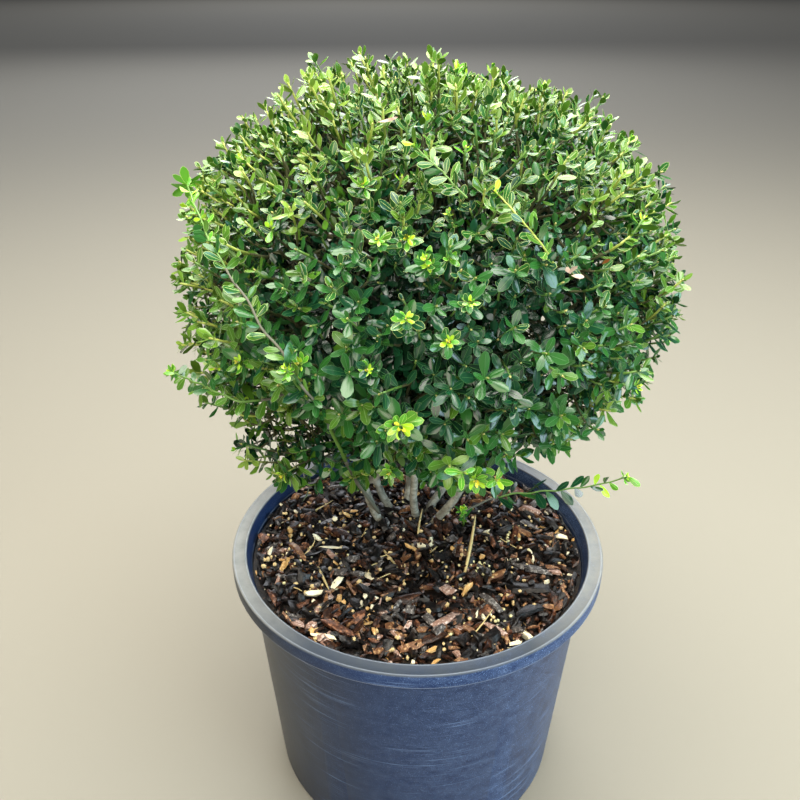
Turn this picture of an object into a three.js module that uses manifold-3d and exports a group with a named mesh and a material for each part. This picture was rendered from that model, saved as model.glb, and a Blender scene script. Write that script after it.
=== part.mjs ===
// A potted Japanese holly: a dense, rounded evergreen shrub on several thin stems, in a round nursery pot.
// Millimetres, +Z up. The origin is the centre of the pot's flat underside, and the front faces -Y.
import * as THREE from "three";
import { mergeVertices } from "three/addons/utils/BufferGeometryUtils.js";
import Module from "manifold-3d";

const wasm = await Module();
wasm.setup();

// Clearance between neighbouring solids that touch on the real plant
const gap = 0.3;

// The pot: a thin tapering wall with a flanged rim, and drain notches round its heel
const pot = {
  height: 206,
  rimRadius: 140,
  lipInnerRadius: 129.5,
  rimDrop: 11,
  wallTopRadius: 128.2,
  baseRadius: 115.3,
  wall: 2,
  floor: 2.5,
  heel: 3,
  edgeRound: 1.2,
  sides: 46,
  notchCount: 6,
  notchRadius: 8,
  notchHeight: 3,
  notchDepth: 26,
};

// The potting mix: a plug that fills the pot to below its rim, with coarse bark pieces lying on it
const mix = {
  belowRim: 12,
  chipCount: 30,
  chipLength: 24,
  chipWidth: 11,
  chipHeight: 6,
  keptFromWall: 16,
  keptFromFoot: 34,
};

// Where each stem comes out of the mix, and the angle round the vertical that it fans out toward
const feet = [
  { x: 12, y: 52, turn: 30 },
  { x: -7, y: 57, turn: 90 },
  { x: -20, y: 46, turn: 165 },
  { x: -29, y: 33, turn: 208 },
  { x: 0, y: 40, turn: 262 },
  { x: 15, y: 33, turn: 334 },
];
const footMiddle = new THREE.Vector2(-6, 44);

// The stems lean out of the mix, bow, and rise to a ring about the heart
const stems = {
  baseRadius: 3.4,
  topRadius: 2.8,
  flare: 1,
  flareShare: 0.12,
  sunk: 6,
  footLean: 0.6,
  topSpread: 42,
  topHeight: 278,
  topWobble: 9,
  bow: 10,
  bowWobble: 3,
  sides: 7,
  steps: 7,
  firstFork: 0.56,
  lastFork: 0.84,
};
const stub = { length: 12, radius: 2.5, angle: 54, sides: 5 };
const boughs = { baseRadius: 2.5, tipRadius: 1.9, sides: 5, steps: 6 };

// The crown's outline: how far it reaches from its centre at each angle from straight up, toward its four
// sides, and the hollows and bulges in it, each about a direction
const crown = {
  centre: new THREE.Vector3(9, 40, 386),
  outline: [
    { polar: 0, left: 151, right: 151, front: 151, back: 151 },
    { polar: 30, left: 170, right: 163, front: 164, back: 164 },
    { polar: 60, left: 181, right: 175, front: 167, back: 172 },
    { polar: 90, left: 173, right: 170, front: 162, back: 170 },
    { polar: 110, left: 183, right: 158, front: 155, back: 162 },
    { polar: 130, left: 184, right: 148, front: 145, back: 150 },
    { polar: 150, left: 160, right: 138, front: 140, back: 138 },
    { polar: 180, left: 128, right: 128, front: 128, back: 128 },
  ],
  bumps: [
    { polar: 50, turn: 270, height: -16, spread: 14 },
    { polar: 116, turn: 231, height: -78, spread: 14 },
    { polar: 134, turn: 305, height: -44, spread: 13 },
    { polar: 129, turn: 200, height: 16, spread: 15 },
    { polar: 117, turn: 195, height: -22, spread: 8 },
    { polar: 25, turn: 17, height: -9, spread: 9 },
  ],
};

// The heart is where boughs fan out from. Each mass lies about a seed, a share of the way out to the outline,
// in a ring at one angle from straight up, and its own stem comes to the seed from the heart's side.
const heart = new THREE.Vector3(4, 46, 318);
const rings = [
  { name: "top", count: 1, turn: 0, polar: 0, out: 0.62, spread: 120 },
  { name: "upper", count: 5, turn: 18, polar: 49, out: 0.62, spread: 120 },
  { name: "middle", count: 7, turn: -90, polar: 89, out: 0.62, spread: 120 },
  { name: "lower", count: 5, turn: 184, polar: 130, out: 0.66, spread: 78 },
];

// Twigs and leaves, larger than life so that few of them cover the crown
const foliage = {
  seed: 1030,
  tips: 180,
  lowestTip: -0.92,
  tipBack: 28,
  tipInset: 11,
  overReach: 6,
  stemLength: 34,
  stemRadius: 1.9,
  stemTip: 1.4,
  twigBase: 1.7,
  twigTip: 1.2,
  twigSides: 3,
  twigStep: 3,
  leafLength: 32,
  leafWidth: 16,
  leafThickness: 1.3,
  leafWidest: 0.58,
  leafFold: 0.9,
  leafSunk: 1.1,
  leaves: 3,
  leafAngles: [46, 28, 12],
  leafTurns: [0, 35, -35],
  leafSizes: [1.1, 0.92],
  coreBack: 24,
  coreInset: 2.2,
  coreStart: 9,
  coreDetail: 2,
  coreShare: 0.46,
  limbClearance: 2.6,
};

// One young shoot that leans out low over the rim
const shoot = {
  path: [
    [30, 37, 186],
    [39, 38, 199],
    [69, 45, 210],
    [97, 41, 217],
    [124, 37, 223],
    [146, 32, 231],
    [164, 26, 242],
  ],
  baseRadius: 1.7,
  tipRadius: 1,
  sides: 5,
  steps: 9,
  leaves: 11,
  leafLength: 17,
  leafWidth: 8.5,
  firstLeaf: 0.3,
};

const goldenTurn = Math.PI * (3 - Math.sqrt(5));
const up = new THREE.Vector3(0, 0, 1);
const radians = THREE.MathUtils.degToRad;
const mixTop = pot.height - mix.belowRim;

const colours = {
  pot: { color: 0x2b3646, roughness: 0.5, metalness: 0 },
  mix: { color: 0x3a2a20, roughness: 0.95, metalness: 0 },
  bark: { color: 0x857a6a, roughness: 0.9, metalness: 0 },
  foliage: { color: 0x4a7a2c, roughness: 0.45, metalness: 0 },
};

// A repeatable number from -1 to 1 for each seed
function wobble(seed) {
  const wave = Math.sin(seed * 12.9898) * 43758.5453;
  return 2 * (wave - Math.floor(wave)) - 1;
}

// The unit vector at an angle from straight up and an angle round the vertical, in degrees
function pointing(polar, turn) {
  const flat = Math.sin(radians(polar));
  const [x, y] = [flat * Math.cos(radians(turn)), flat * Math.sin(radians(turn))];
  return new THREE.Vector3(x, y, Math.cos(radians(polar)));
}

// A closed three.js geometry as a solid that can be joined and cut
function toSolid(geometry) {
  const bare = geometry.clone();
  bare.deleteAttribute("normal");
  bare.deleteAttribute("uv");
  const merged = mergeVertices(bare);
  const corners = merged.index.array;
  const kept = [];
  for (let i = 0; i < corners.length; i += 3) {
    const [a, b, c] = [corners[i], corners[i + 1], corners[i + 2]];
    if (a !== b && b !== c && a !== c) kept.push(a, b, c);
  }
  const vertProperties = new Float32Array(merged.attributes.position.array);
  const triVerts = new Uint32Array(kept);
  return new wasm.Manifold(new wasm.Mesh({ numProp: 3, vertProperties, triVerts }));
}

// The solid's surface as a three.js geometry
function toGeometry(solid) {
  const mesh = solid.getMesh();
  const geometry = new THREE.BufferGeometry();
  geometry.setAttribute("position", new THREE.BufferAttribute(mesh.vertProperties, 3));
  geometry.setIndex(new THREE.BufferAttribute(mesh.triVerts, 1));
  geometry.computeVertexNormals();
  return geometry;
}

function fuse(solids) {
  return wasm.Manifold.union(solids);
}

// The largest body of a solid, with hollows that fusing sealed filled in and loose scraps dropped
function wholeBody(solid) {
  return solid.decompose().reduce((best, body) => (body.volume() > best.volume() ? body : best));
}

// The pot's section, turned about the vertical axis, with notches cut through its heel
function potSolid() {
  const { height, rimRadius, lipInnerRadius, rimDrop, wallTopRadius, baseRadius, wall, floor, heel } = pot;
  const flangeUnder = height - wall;
  const section = [
    [0, 0],
    [baseRadius - heel, 0],
    [baseRadius, heel],
    [wallTopRadius, height - rimDrop],
    [lipInnerRadius + wall, flangeUnder],
    [rimRadius - wall, flangeUnder],
    [rimRadius - wall, height - rimDrop],
    [rimRadius, height - rimDrop],
    [rimRadius, height - pot.edgeRound],
    [rimRadius - pot.edgeRound, height],
    [lipInnerRadius, height],
    [wallTopRadius - wall, height - rimDrop],
    [baseRadius - wall, floor],
    [0, floor],
  ];
  const profile = section.map(([r, z]) => new THREE.Vector2(r, z));
  const turned = new THREE.LatheGeometry(profile, pot.sides).rotateX(Math.PI / 2);
  const notches = [];
  for (let i = 0; i < pot.notchCount; i++) {
    const notch = new THREE.CylinderGeometry(pot.notchRadius, pot.notchRadius, pot.notchDepth, 10);
    notch.translate(0, baseRadius, 0);
    notch.rotateZ(((i + 0.5) / pot.notchCount) * 2 * Math.PI);
    notch.translate(0, 0, pot.notchHeight);
    notches.push(toSolid(notch));
  }
  return toSolid(turned).subtract(fuse(notches));
}

// The inner radius of the pot's wall at a height
function innerRadiusAt(z) {
  const share = (z - pot.floor) / (pot.height - pot.rimDrop - pot.floor);
  return THREE.MathUtils.lerp(pot.baseRadius, pot.wallTopRadius, share) - pot.wall;
}

// The potting mix with bark pieces half sunk in its top
function mixSolid() {
  const bottom = pot.floor + gap;
  const section = [
    [0, bottom],
    [innerRadiusAt(bottom) - gap, bottom],
    [innerRadiusAt(mixTop) - gap, mixTop],
    [0, mixTop],
  ];
  const profile = section.map(([r, z]) => new THREE.Vector2(r, z));
  const plug = toSolid(new THREE.LatheGeometry(profile, pot.sides).rotateX(Math.PI / 2));
  const chips = [];
  const reach = innerRadiusAt(mixTop) - mix.keptFromWall;
  for (let i = 0; i < mix.chipCount; i++) {
    const distance = reach * Math.sqrt((i + 0.5) / mix.chipCount);
    const place = new THREE.Vector2(distance, 0).rotateAround(new THREE.Vector2(), i * goldenTurn);
    if (place.distanceTo(footMiddle) < mix.keptFromFoot) continue;
    const size = 1 + 0.35 * wobble(i + 300);
    const chip = new THREE.CylinderGeometry(0.35, 0.5, 1, 5);
    chip.rotateX(Math.PI / 2).scale(mix.chipLength * size, mix.chipWidth * size, mix.chipHeight);
    chip.rotateX(0.25 * wobble(i + 400)).rotateY(0.22 * wobble(i + 500)).rotateZ(Math.PI * wobble(i + 600));
    chip.translate(place.x, place.y, mixTop);
    chips.push(toSolid(chip));
  }
  return fuse([plug, ...chips]);
}

// A tapering limb along a curve: rings of corners, flat at both ends
function limbSolid(curve, startRadius, endRadius, sides, steps, flare = 0) {
  const frames = curve.computeFrenetFrames(steps, false);
  const positions = [];
  const index = [];
  for (let i = 0; i <= steps; i++) {
    const share = i / steps;
    const centre = curve.getPointAt(share);
    const spread = flare * Math.max(0, 1 - share / stems.flareShare);
    const radius = THREE.MathUtils.lerp(startRadius, endRadius, share) + spread;
    for (let k = 0; k < sides; k++) {
      const turn = (k / sides) * 2 * Math.PI;
      const corner = centre.clone();
      corner.addScaledVector(frames.normals[i], radius * Math.cos(turn));
      corner.addScaledVector(frames.binormals[i], radius * Math.sin(turn));
      positions.push(...corner.toArray());
    }
  }
  const end = steps * sides;
  for (let k = 0; k < sides; k++) {
    const next = (k + 1) % sides;
    for (let i = 0; i < end; i += sides) {
      index.push(i + k, i + next, i + sides + next);
      index.push(i + k, i + sides + next, i + sides + k);
    }
    if (k > 0 && k < sides - 1) {
      index.push(0, k + 1, k);
      index.push(end, end + k, end + k + 1);
    }
  }
  const geometry = new THREE.BufferGeometry();
  geometry.setAttribute("position", new THREE.BufferAttribute(new Float32Array(positions), 3));
  geometry.setIndex(index);
  return toSolid(geometry);
}

// A straight three-sided twig or stub between two points
function twigSolid(from, to, startRadius, endRadius, sides) {
  return limbSolid(new THREE.LineCurve3(from, to), startRadius, endRadius, sides, 1);
}

// A leaf of eight faces: a pointed oval, widest past its middle, with its sides lifted a little
function leafSolid(corners) {
  const positions = new Float32Array(corners.flatMap((corner) => corner.toArray()));
  const geometry = new THREE.BufferGeometry();
  geometry.setAttribute("position", new THREE.BufferAttribute(positions, 3));
  const [root, right, tip, left, crest, keel] = [0, 1, 2, 3, 4, 5];
  geometry.setIndex([
    ...[root, right, crest],
    ...[right, tip, crest],
    ...[tip, left, crest],
    ...[left, root, crest],
    ...[right, root, keel],
    ...[tip, right, keel],
    ...[left, tip, keel],
    ...[root, left, keel],
  ]);
  return toSolid(geometry);
}

// The leaf's corners, in leafSolid's order
function leafCorners(root, direction, face, length, width) {
  const side = new THREE.Vector3().crossVectors(direction, face).normalize();
  const middle = root.clone().addScaledVector(direction, length * foliage.leafWidest);
  const lifted = middle.clone().addScaledVector(face, foliage.leafFold);
  const half = foliage.leafThickness / 2;
  return [
    root,
    lifted.clone().addScaledVector(side, width / 2),
    root.clone().addScaledVector(direction, length),
    lifted.clone().addScaledVector(side, -width / 2),
    middle.clone().addScaledVector(face, half),
    middle.clone().addScaledVector(face, -half),
  ];
}

// How far the crown reaches from its centre toward a direction
function crownReach(direction) {
  const { outline, bumps } = crown;
  const polar = THREE.MathUtils.radToDeg(Math.acos(THREE.MathUtils.clamp(direction.z, -1, 1)));
  const below = Math.max(1, outline.findIndex((row) => row.polar >= polar));
  const [above, under] = [outline[below - 1], outline[below]];
  const share = (polar - above.polar) / (under.polar - above.polar);
  const flat = Math.max(1e-9, direction.x ** 2 + direction.y ** 2);
  const sideways = direction.x ** 2 / flat;
  const toSide = (side) => THREE.MathUtils.lerp(above[side], under[side], share);
  let reach = sideways * toSide(direction.x < 0 ? "left" : "right");
  reach += (1 - sideways) * toSide(direction.y < 0 ? "front" : "back");
  for (const bump of bumps) {
    const aside = direction.angleTo(pointing(bump.polar, bump.turn)) / radians(bump.spread);
    reach += bump.height * Math.exp(-(aside ** 2));
  }
  return reach;
}

// The masses: each with its seed, the point where its stem enters, and the planes that bound its space
function placeMasses() {
  const masses = [];
  for (const ring of rings) {
    for (let i = 0; i < ring.count; i++) {
      const turn = ring.turn + (i * 360) / ring.count;
      const toward = pointing(ring.polar, turn);
      const seed = crown.centre.clone().addScaledVector(toward, ring.out * crownReach(toward));
      const axis = seed.clone().sub(heart).normalize();
      const entry = seed.clone().addScaledVector(axis, -foliage.stemLength);
      masses.push({
        name: ring.count > 1 ? `${ring.name}_${i + 1}` : ring.name,
        polar: ring.polar,
        spread: ring.spread,
        turn,
        seed,
        axis,
        entry,
        inner: new THREE.Plane().setFromNormalAndCoplanarPoint(axis, entry),
      });
    }
  }
  for (const mass of masses) {
    const others = masses.filter((other) => other !== mass);
    mass.walls = others.map((other) => {
      const away = mass.seed.clone().sub(other.seed).normalize();
      return new THREE.Plane().setFromNormalAndCoplanarPoint(away, mass.seed.clone().lerp(other.seed, 0.5));
    });
  }
  return masses;
}

// The stems' centre lines, from under the mix's top to their forks
function placeStems() {
  return feet.map(({ x, y, turn }, i) => {
    const out = pointing(90, turn);
    const base = new THREE.Vector3(x, y, mixTop);
    const top = new THREE.Vector3(heart.x, heart.y, stems.topHeight);
    top.addScaledVector(out, stems.topSpread).addScaledVector(up, stems.topWobble * wobble(i + 20));
    const below = base.clone().addScaledVector(up, -stems.sunk);
    below.addScaledVector(out, -stems.sunk * stems.footLean);
    const bowed = [0.34, 0.67].map((share) => {
      const bow = stems.bow + stems.bowWobble * wobble(i + 30 + share);
      return base.clone().lerp(top, share).addScaledVector(out, bow);
    });
    const curve = new THREE.CatmullRomCurve3([below, base, ...bowed, top]);
    return { name: `stem_${i + 1}`, turn, curve, masses: [] };
  });
}

// Gives each mass to the stem on its side, lowest masses first
function shareMasses(masses, placedStems) {
  const apart = (a, b) => Math.abs(((a - b + 540) % 360) - 180);
  for (const mass of masses) {
    const nearest = placedStems.reduce((best, stem) =>
      apart(stem.turn, mass.turn) < apart(best.turn, mass.turn) ? stem : best,
    );
    nearest.masses.push(mass);
  }
  for (const stem of placedStems) stem.masses.sort((a, b) => b.polar - a.polar);
}

// The curve of a bough from its start to the mass that it carries, and the line that it ends along
function boughCurve(start, direction, mass) {
  const length = start.distanceTo(mass.entry);
  const end = mass.entry.clone().addScaledVector(mass.axis, -gap);
  return new THREE.CubicBezierCurve3(
    start,
    start.clone().addScaledVector(direction, length * 0.36),
    end.clone().addScaledVector(mass.axis, -length * 0.3),
    end,
  );
}

// Where each bough leaves its stem. The highest one goes on from the stem's end, the others from stubs.
function placeForks(stem) {
  const forks = [];
  stem.masses.forEach((mass, i) => {
    const last = i === stem.masses.length - 1;
    const share = i / Math.max(1, stem.masses.length - 1);
    const along = last ? 1 : THREE.MathUtils.lerp(stems.firstFork, stems.lastFork, share);
    const from = stem.curve.getPointAt(along);
    const tangent = stem.curve.getTangentAt(along);
    const aside = mass.entry.clone().sub(from).projectOnPlane(tangent).normalize();
    const direction = tangent.clone().multiplyScalar(last ? 1 : Math.cos(radians(stub.angle)));
    if (!last) direction.addScaledVector(aside, Math.sin(radians(stub.angle)));
    const stubEnd = last ? from : from.clone().addScaledVector(direction, stub.length);
    const start = stubEnd.clone().addScaledVector(direction, gap);
    forks.push({ mass, from, last, stubEnd, curve: boughCurve(start, direction, mass) });
  });
  return forks;
}

// A stem with its root flare and fork stubs, cut flat where it stands on the mix
function stemSolid(stem, forks) {
  const { baseRadius, topRadius, sides, steps, flare } = stems;
  const parts = [limbSolid(stem.curve, baseRadius, topRadius, sides, steps, flare)];
  for (const fork of forks) {
    if (!fork.last) parts.push(twigSolid(fork.from, fork.stubEnd, stub.radius, stub.radius, stub.sides));
  }
  return fuse(parts).trimByPlane([0, 0, 1], mixTop + gap);
}

// Sample points along every limb, with their radii, that foliage keeps clear of
function limbPoints(curves) {
  const points = [];
  for (const { curve, startRadius, endRadius } of curves) {
    const steps = 48;
    for (let i = 0; i <= steps; i++) {
      const radius = THREE.MathUtils.lerp(startRadius, endRadius, i / steps);
      points.push({ at: curve.getPointAt(i / steps), radius });
    }
  }
  return points;
}

// True if all corners lie in the mass's own space and clear of the limbs
function fits(mass, corners, limbs) {
  const inside = (corner) => {
    const offset = corner.clone().sub(crown.centre);
    if (offset.length() > crownReach(offset.clone().normalize()) + foliage.overReach) return false;
    if (mass.inner.distanceToPoint(corner) < gap) return false;
    if (corner.distanceTo(mass.seed) > mass.spread) return false;
    return mass.walls.every((wall) => wall.distanceToPoint(corner) > gap);
  };
  const halfway = corners.map((corner) => corner.clone().lerp(corners[0], 0.5));
  const clear = (spot) =>
    limbs.every((limb) => limb.at.distanceTo(spot) > limb.radius + foliage.limbClearance);
  return corners.every(inside) && [...corners, ...halfway].every(clear);
}

// Points along a straight twig, close enough together to tell whether it runs into a limb
function twigSpots(from, to) {
  const steps = Math.ceil(from.distanceTo(to) / foliage.twigStep);
  return Array.from({ length: steps + 1 }, (_, i) => to.clone().lerp(from, i / steps));
}

// The leaves round the end of a twig, each at the first turn and size at which it fits
function sprayLeaves(mass, from, tip, seed, limbs) {
  const { leaves, leafAngles, leafTurns, leafSizes, leafLength, leafWidth, leafSunk } = foliage;
  const along = tip.clone().sub(from).normalize();
  const steady = Math.abs(along.z) < 0.9 ? up : new THREE.Vector3(1, 0, 0);
  const aside = new THREE.Vector3().crossVectors(along, steady).normalize();
  aside.applyAxisAngle(along, Math.PI * wobble(seed + 1));
  const solids = [];
  for (let i = 0; i < leaves; i++) {
    const lean = 1 + 0.35 * wobble(seed + i + 2);
    const turnsAndSizes = leafTurns.flatMap((turn) => leafSizes.map((size) => ({ turn, size })));
    const choices = leafAngles.flatMap((angle) => turnsAndSizes.map((choice) => ({ ...choice, angle })));
    for (const { turn, size, angle: degrees } of choices) {
      const angle = radians(degrees * lean);
      const outward = aside.clone().applyAxisAngle(along, (i * 2 * Math.PI) / leaves + radians(turn));
      const direction = along.clone().multiplyScalar(Math.cos(angle));
      direction.addScaledVector(outward, Math.sin(angle));
      const root = tip.clone().addScaledVector(direction, -leafSunk);
      const face = along.clone().addScaledVector(direction, -along.dot(direction)).normalize();
      const corners = leafCorners(root, direction, face, leafLength * size, leafWidth * size);
      if (!fits(mass, corners, limbs)) continue;
      solids.push(leafSolid(corners));
      break;
    }
  }
  return solids;
}

// Evenly spread places for twig tips over the crown, each given to the mass that it lies nearest to
function placeTips(masses) {
  for (const mass of masses) mass.tips = [];
  for (let i = 0; i < foliage.tips; i++) {
    const z = 1 - (2 * i + 1) / foliage.tips;
    if (z < foliage.lowestTip) continue;
    const flat = Math.sqrt(1 - z * z);
    const direction = new THREE.Vector3(flat * Math.cos(i * goldenTurn), flat * Math.sin(i * goldenTurn), z);
    const reach = crownReach(direction) - foliage.tipBack;
    const at = crown.centre.clone().addScaledVector(direction, reach);
    const nearest = masses.reduce((best, mass) =>
      mass.seed.distanceTo(at) < best.seed.distanceTo(at) ? mass : best,
    );
    for (const wall of nearest.walls) {
      at.addScaledVector(wall.normal, Math.max(0, foliage.tipInset - wall.distanceToPoint(at)));
    }
    nearest.tips.push({ at, seed: foliage.seed + 20 * i });
  }
}

// A faceted ball about a centre, its radius set by a rule for each direction
function ballSolid(centre, detail, radiusToward) {
  const form = new THREE.IcosahedronGeometry(1, detail);
  const position = form.attributes.position;
  const corner = new THREE.Vector3();
  for (let i = 0; i < position.count; i++) {
    corner.fromBufferAttribute(position, i).normalize();
    corner.multiplyScalar(radiusToward(corner)).add(centre);
    position.setXYZ(i, ...corner.toArray());
  }
  return toSolid(form);
}

// The core of a mass: the crown's form drawn in, cut to the mass's own space and clear of the limbs
function coreSolid(mass, clearedLimbs) {
  const { coreBack, coreInset, coreStart, coreDetail, coreShare } = foliage;
  let core = ballSolid(crown.centre, coreDetail, (toward) => crownReach(toward) - coreBack);
  for (const wall of mass.walls) {
    core = core.trimByPlane(wall.normal.toArray(), -wall.constant + coreInset);
  }
  core = core.trimByPlane(mass.inner.normal.toArray(), -mass.inner.constant + coreStart);
  if (mass.spread < crown.outline[0].left / 2) {
    core = core.intersect(ballSolid(mass.seed, 1, () => mass.spread * coreShare));
  }
  return core.subtract(clearedLimbs);
}

// A mass of foliage: its stem, a core, and twigs that branch from the stem and end in leaves
function massSolid(mass, limbs, clearedLimbs) {
  const { stemRadius, stemTip, twigBase, twigTip, twigSides } = foliage;
  const solids = [twigSolid(mass.entry, mass.seed, stemRadius, stemTip, boughs.sides)];
  solids.push(coreSolid(mass, clearedLimbs));
  let leafCount = 0;
  for (const tip of mass.tips) {
    const from = mass.entry.clone().lerp(mass.seed, 0.7 + 0.25 * wobble(tip.seed));
    if (!fits(mass, twigSpots(from, tip.at), limbs)) continue;
    const leaves = sprayLeaves(mass, from, tip.at, tip.seed, limbs);
    if (leaves.length === 0) continue;
    solids.push(twigSolid(from, tip.at, twigBase, twigTip, twigSides), ...leaves);
    leafCount += leaves.length;
  }
  return { solid: wholeBody(fuse(solids)), leafCount };
}

// The low young shoot, with leaves set alternately along it
function shootSolid() {
  const curve = new THREE.CatmullRomCurve3(shoot.path.map((point) => new THREE.Vector3(...point)));
  const solids = [limbSolid(curve, shoot.baseRadius, shoot.tipRadius, shoot.sides, shoot.steps)];
  for (let i = 0; i < shoot.leaves; i++) {
    const last = i === shoot.leaves - 1;
    const share = THREE.MathUtils.lerp(shoot.firstLeaf, 1, i / (shoot.leaves - 1));
    const along = curve.getTangentAt(share);
    const sideways = new THREE.Vector3().crossVectors(along, up).normalize();
    const outward = sideways.applyAxisAngle(along, i * goldenTurn);
    const angle = radians(last ? 10 : 55);
    const direction = along.clone().multiplyScalar(Math.cos(angle));
    direction.addScaledVector(outward, Math.sin(angle));
    const root = curve.getPointAt(share).addScaledVector(direction, -0.7);
    const face = along.clone().addScaledVector(direction, -along.dot(direction)).normalize();
    const size = 1 + 0.15 * wobble(i + 700);
    const corners = leafCorners(root, direction, face, shoot.leafLength * size, shoot.leafWidth * size);
    solids.push(leafSolid(corners));
  }
  return fuse(solids).trimByPlane([0, 0, 1], mixTop + gap);
}

const container = new THREE.Group();
const limbGroup = new THREE.Group();
const crownGroup = new THREE.Group();
function add(group, name, solid, finish) {
  const mesh = new THREE.Mesh(toGeometry(solid), new THREE.MeshStandardMaterial(colours[finish]));
  mesh.name = name;
  group.add(mesh);
}

add(container, "pot", potSolid(), "pot");
add(container, "potting_mix", mixSolid(), "mix");

const masses = placeMasses();
const placedStems = placeStems();
shareMasses(masses, placedStems);
placeTips(masses);

const limbCurves = [];
const clearings = [];
function addLimb(name, solid, curve, startRadius, endRadius) {
  const { limbClearance } = foliage;
  add(limbGroup, name, solid, "bark");
  limbCurves.push({ curve, startRadius, endRadius });
  const radii = [startRadius + limbClearance, endRadius + limbClearance];
  clearings.push(limbSolid(curve, ...radii, boughs.sides, stems.steps));
}
for (const stem of placedStems) {
  const forks = placeForks(stem);
  addLimb(stem.name, stemSolid(stem, forks), stem.curve, stems.baseRadius, stems.topRadius);
  for (const fork of forks) {
    const { baseRadius, tipRadius, sides, steps } = boughs;
    const startRadius = fork.last ? stems.topRadius : baseRadius;
    const solid = limbSolid(fork.curve, startRadius, tipRadius, sides, steps);
    addLimb(`bough_${fork.mass.name}`, solid, fork.curve, startRadius, tipRadius);
  }
}

const limbs = limbPoints(limbCurves);
const clearedLimbs = fuse(clearings);
let leafCount = 0;
for (const mass of masses) {
  const others = limbs.filter((limb) => limb.at.distanceTo(mass.entry) > 3);
  const made = massSolid(mass, others, clearedLimbs);
  leafCount += made.leafCount;
  add(crownGroup, `foliage_${mass.name}`, made.solid, "foliage");
}
add(crownGroup, "low_shoot", shootSolid(), "foliage");
console.log(`${leafCount} leaves on the crown`);

const plant = new THREE.Group();
plant.add(container, limbGroup, crownGroup);

export default plant;
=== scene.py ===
# A potted Japanese holly: a dense, rounded evergreen with small leaves on thin stems, in a nursery pot.
import math

import bpy
import numpy as np
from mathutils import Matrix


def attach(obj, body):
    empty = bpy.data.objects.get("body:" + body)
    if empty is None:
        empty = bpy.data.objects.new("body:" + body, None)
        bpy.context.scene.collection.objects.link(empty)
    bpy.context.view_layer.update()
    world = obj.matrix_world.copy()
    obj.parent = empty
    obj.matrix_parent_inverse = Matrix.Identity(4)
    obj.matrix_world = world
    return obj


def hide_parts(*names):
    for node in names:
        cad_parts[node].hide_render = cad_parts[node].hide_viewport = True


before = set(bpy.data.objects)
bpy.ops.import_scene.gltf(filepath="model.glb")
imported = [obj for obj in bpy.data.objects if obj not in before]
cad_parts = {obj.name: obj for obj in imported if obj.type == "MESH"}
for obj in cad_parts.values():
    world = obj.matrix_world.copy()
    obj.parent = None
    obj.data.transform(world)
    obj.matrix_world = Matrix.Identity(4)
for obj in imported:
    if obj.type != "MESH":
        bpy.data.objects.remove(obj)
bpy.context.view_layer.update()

mm = 0.001
dice = np.random.default_rng(1030)
up = np.array([0.0, 0.0, 1.0])
goldenTurn = math.pi * (3 - math.sqrt(5))


# sRGB hex to linear
def linear(hexColour):
    channels = [int(hexColour[i:i + 2], 16) / 255 for i in (1, 3, 5)]
    return (*[c / 12.92 if c <= 0.04045 else ((c + 0.055) / 1.055) ** 2.4 for c in channels], 1)


# One node with its settings (by socket name or number, or node property) and its links, each from a socket or
# from a node's first output
def addNode(tree, kind, settings=None, links=None):
    node = tree.nodes.new(kind)
    for key, value in (settings or {}).items():
        if isinstance(key, int) or key in node.inputs:
            node.inputs[key].default_value = value
        else:
            setattr(node, key, value)
    for key, source in (links or {}).items():
        tree.links.new(source.outputs[0] if isinstance(source, bpy.types.Node) else source, node.inputs[key])
    return node


# A material and its Principled shader with plain values. Patterns are linked in by the caller.
def newFinish(name, colour, roughness, ior=1.5):
    finish = bpy.data.materials.new(name)
    finish.use_nodes = True
    finish.diffuse_color = linear(colour)
    shader = finish.node_tree.nodes["Principled BSDF"]
    shader.inputs["Base Color"].default_value = linear(colour)
    shader.inputs["Roughness"].default_value = roughness
    shader.inputs["IOR"].default_value = ior
    return finish


# A repeatable number from -1 to 1 for each seed
def wobble(seed):
    wave = np.sin(np.asarray(seed, float) * 12.9898) * 43758.5453
    return 2 * (wave - np.floor(wave)) - 1


def unit(vectors):
    return vectors / np.maximum(np.linalg.norm(vectors, axis=-1, keepdims=True), 1e-12)


def lerp(a, b, share):
    return a + (b - a) * share


# The unit vector at an angle from straight up and an angle round the vertical
def pointing(polar, turn):
    p, t = math.radians(polar), math.radians(turn)
    return np.array([math.sin(p) * math.cos(t), math.sin(p) * math.sin(t), math.cos(p)])


# Evenly spread unit vectors, from straight up to straight down
def evenDirections(count):
    i = np.arange(count)
    z = 1 - (2 * i + 1) / count
    flat = np.sqrt(1 - z * z)
    return np.stack([flat * np.cos(i * goldenTurn), flat * np.sin(i * goldenTurn), z], axis=1)


# A piece of many copies of one shape, at the origin. corners[copy, corner] are in millimetres, and one lists
# the faces of a single copy.
def newPiece(name, corners, one, finish, smooth=True):
    count, each = corners.shape[:2]
    flat = np.concatenate(one).astype(int)
    starts = np.concatenate([[0], np.cumsum([len(face) for face in one])[:-1]])
    copies = np.arange(count)[:, None]
    mesh = bpy.data.meshes.new(name)
    mesh.vertices.add(count * each)
    mesh.vertices.foreach_set("co", (corners * mm).astype(np.float32).ravel())
    mesh.loops.add(count * len(flat))
    mesh.loops.foreach_set("vertex_index", (flat + copies * each).ravel())
    mesh.polygons.add(count * len(one))
    mesh.polygons.foreach_set("loop_start", (starts + copies * len(flat)).ravel())
    mesh.polygons.foreach_set("use_smooth", np.full(count * len(one), smooth))
    mesh.update(calc_edges=True)
    mesh.materials.append(finish)
    piece = bpy.data.objects.new(name, mesh)
    bpy.context.scene.collection.objects.link(piece)
    return piece


def dress(piece, slotName, *nodes):
    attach(piece, "root")
    if nodes:
        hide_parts(*nodes)


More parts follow.
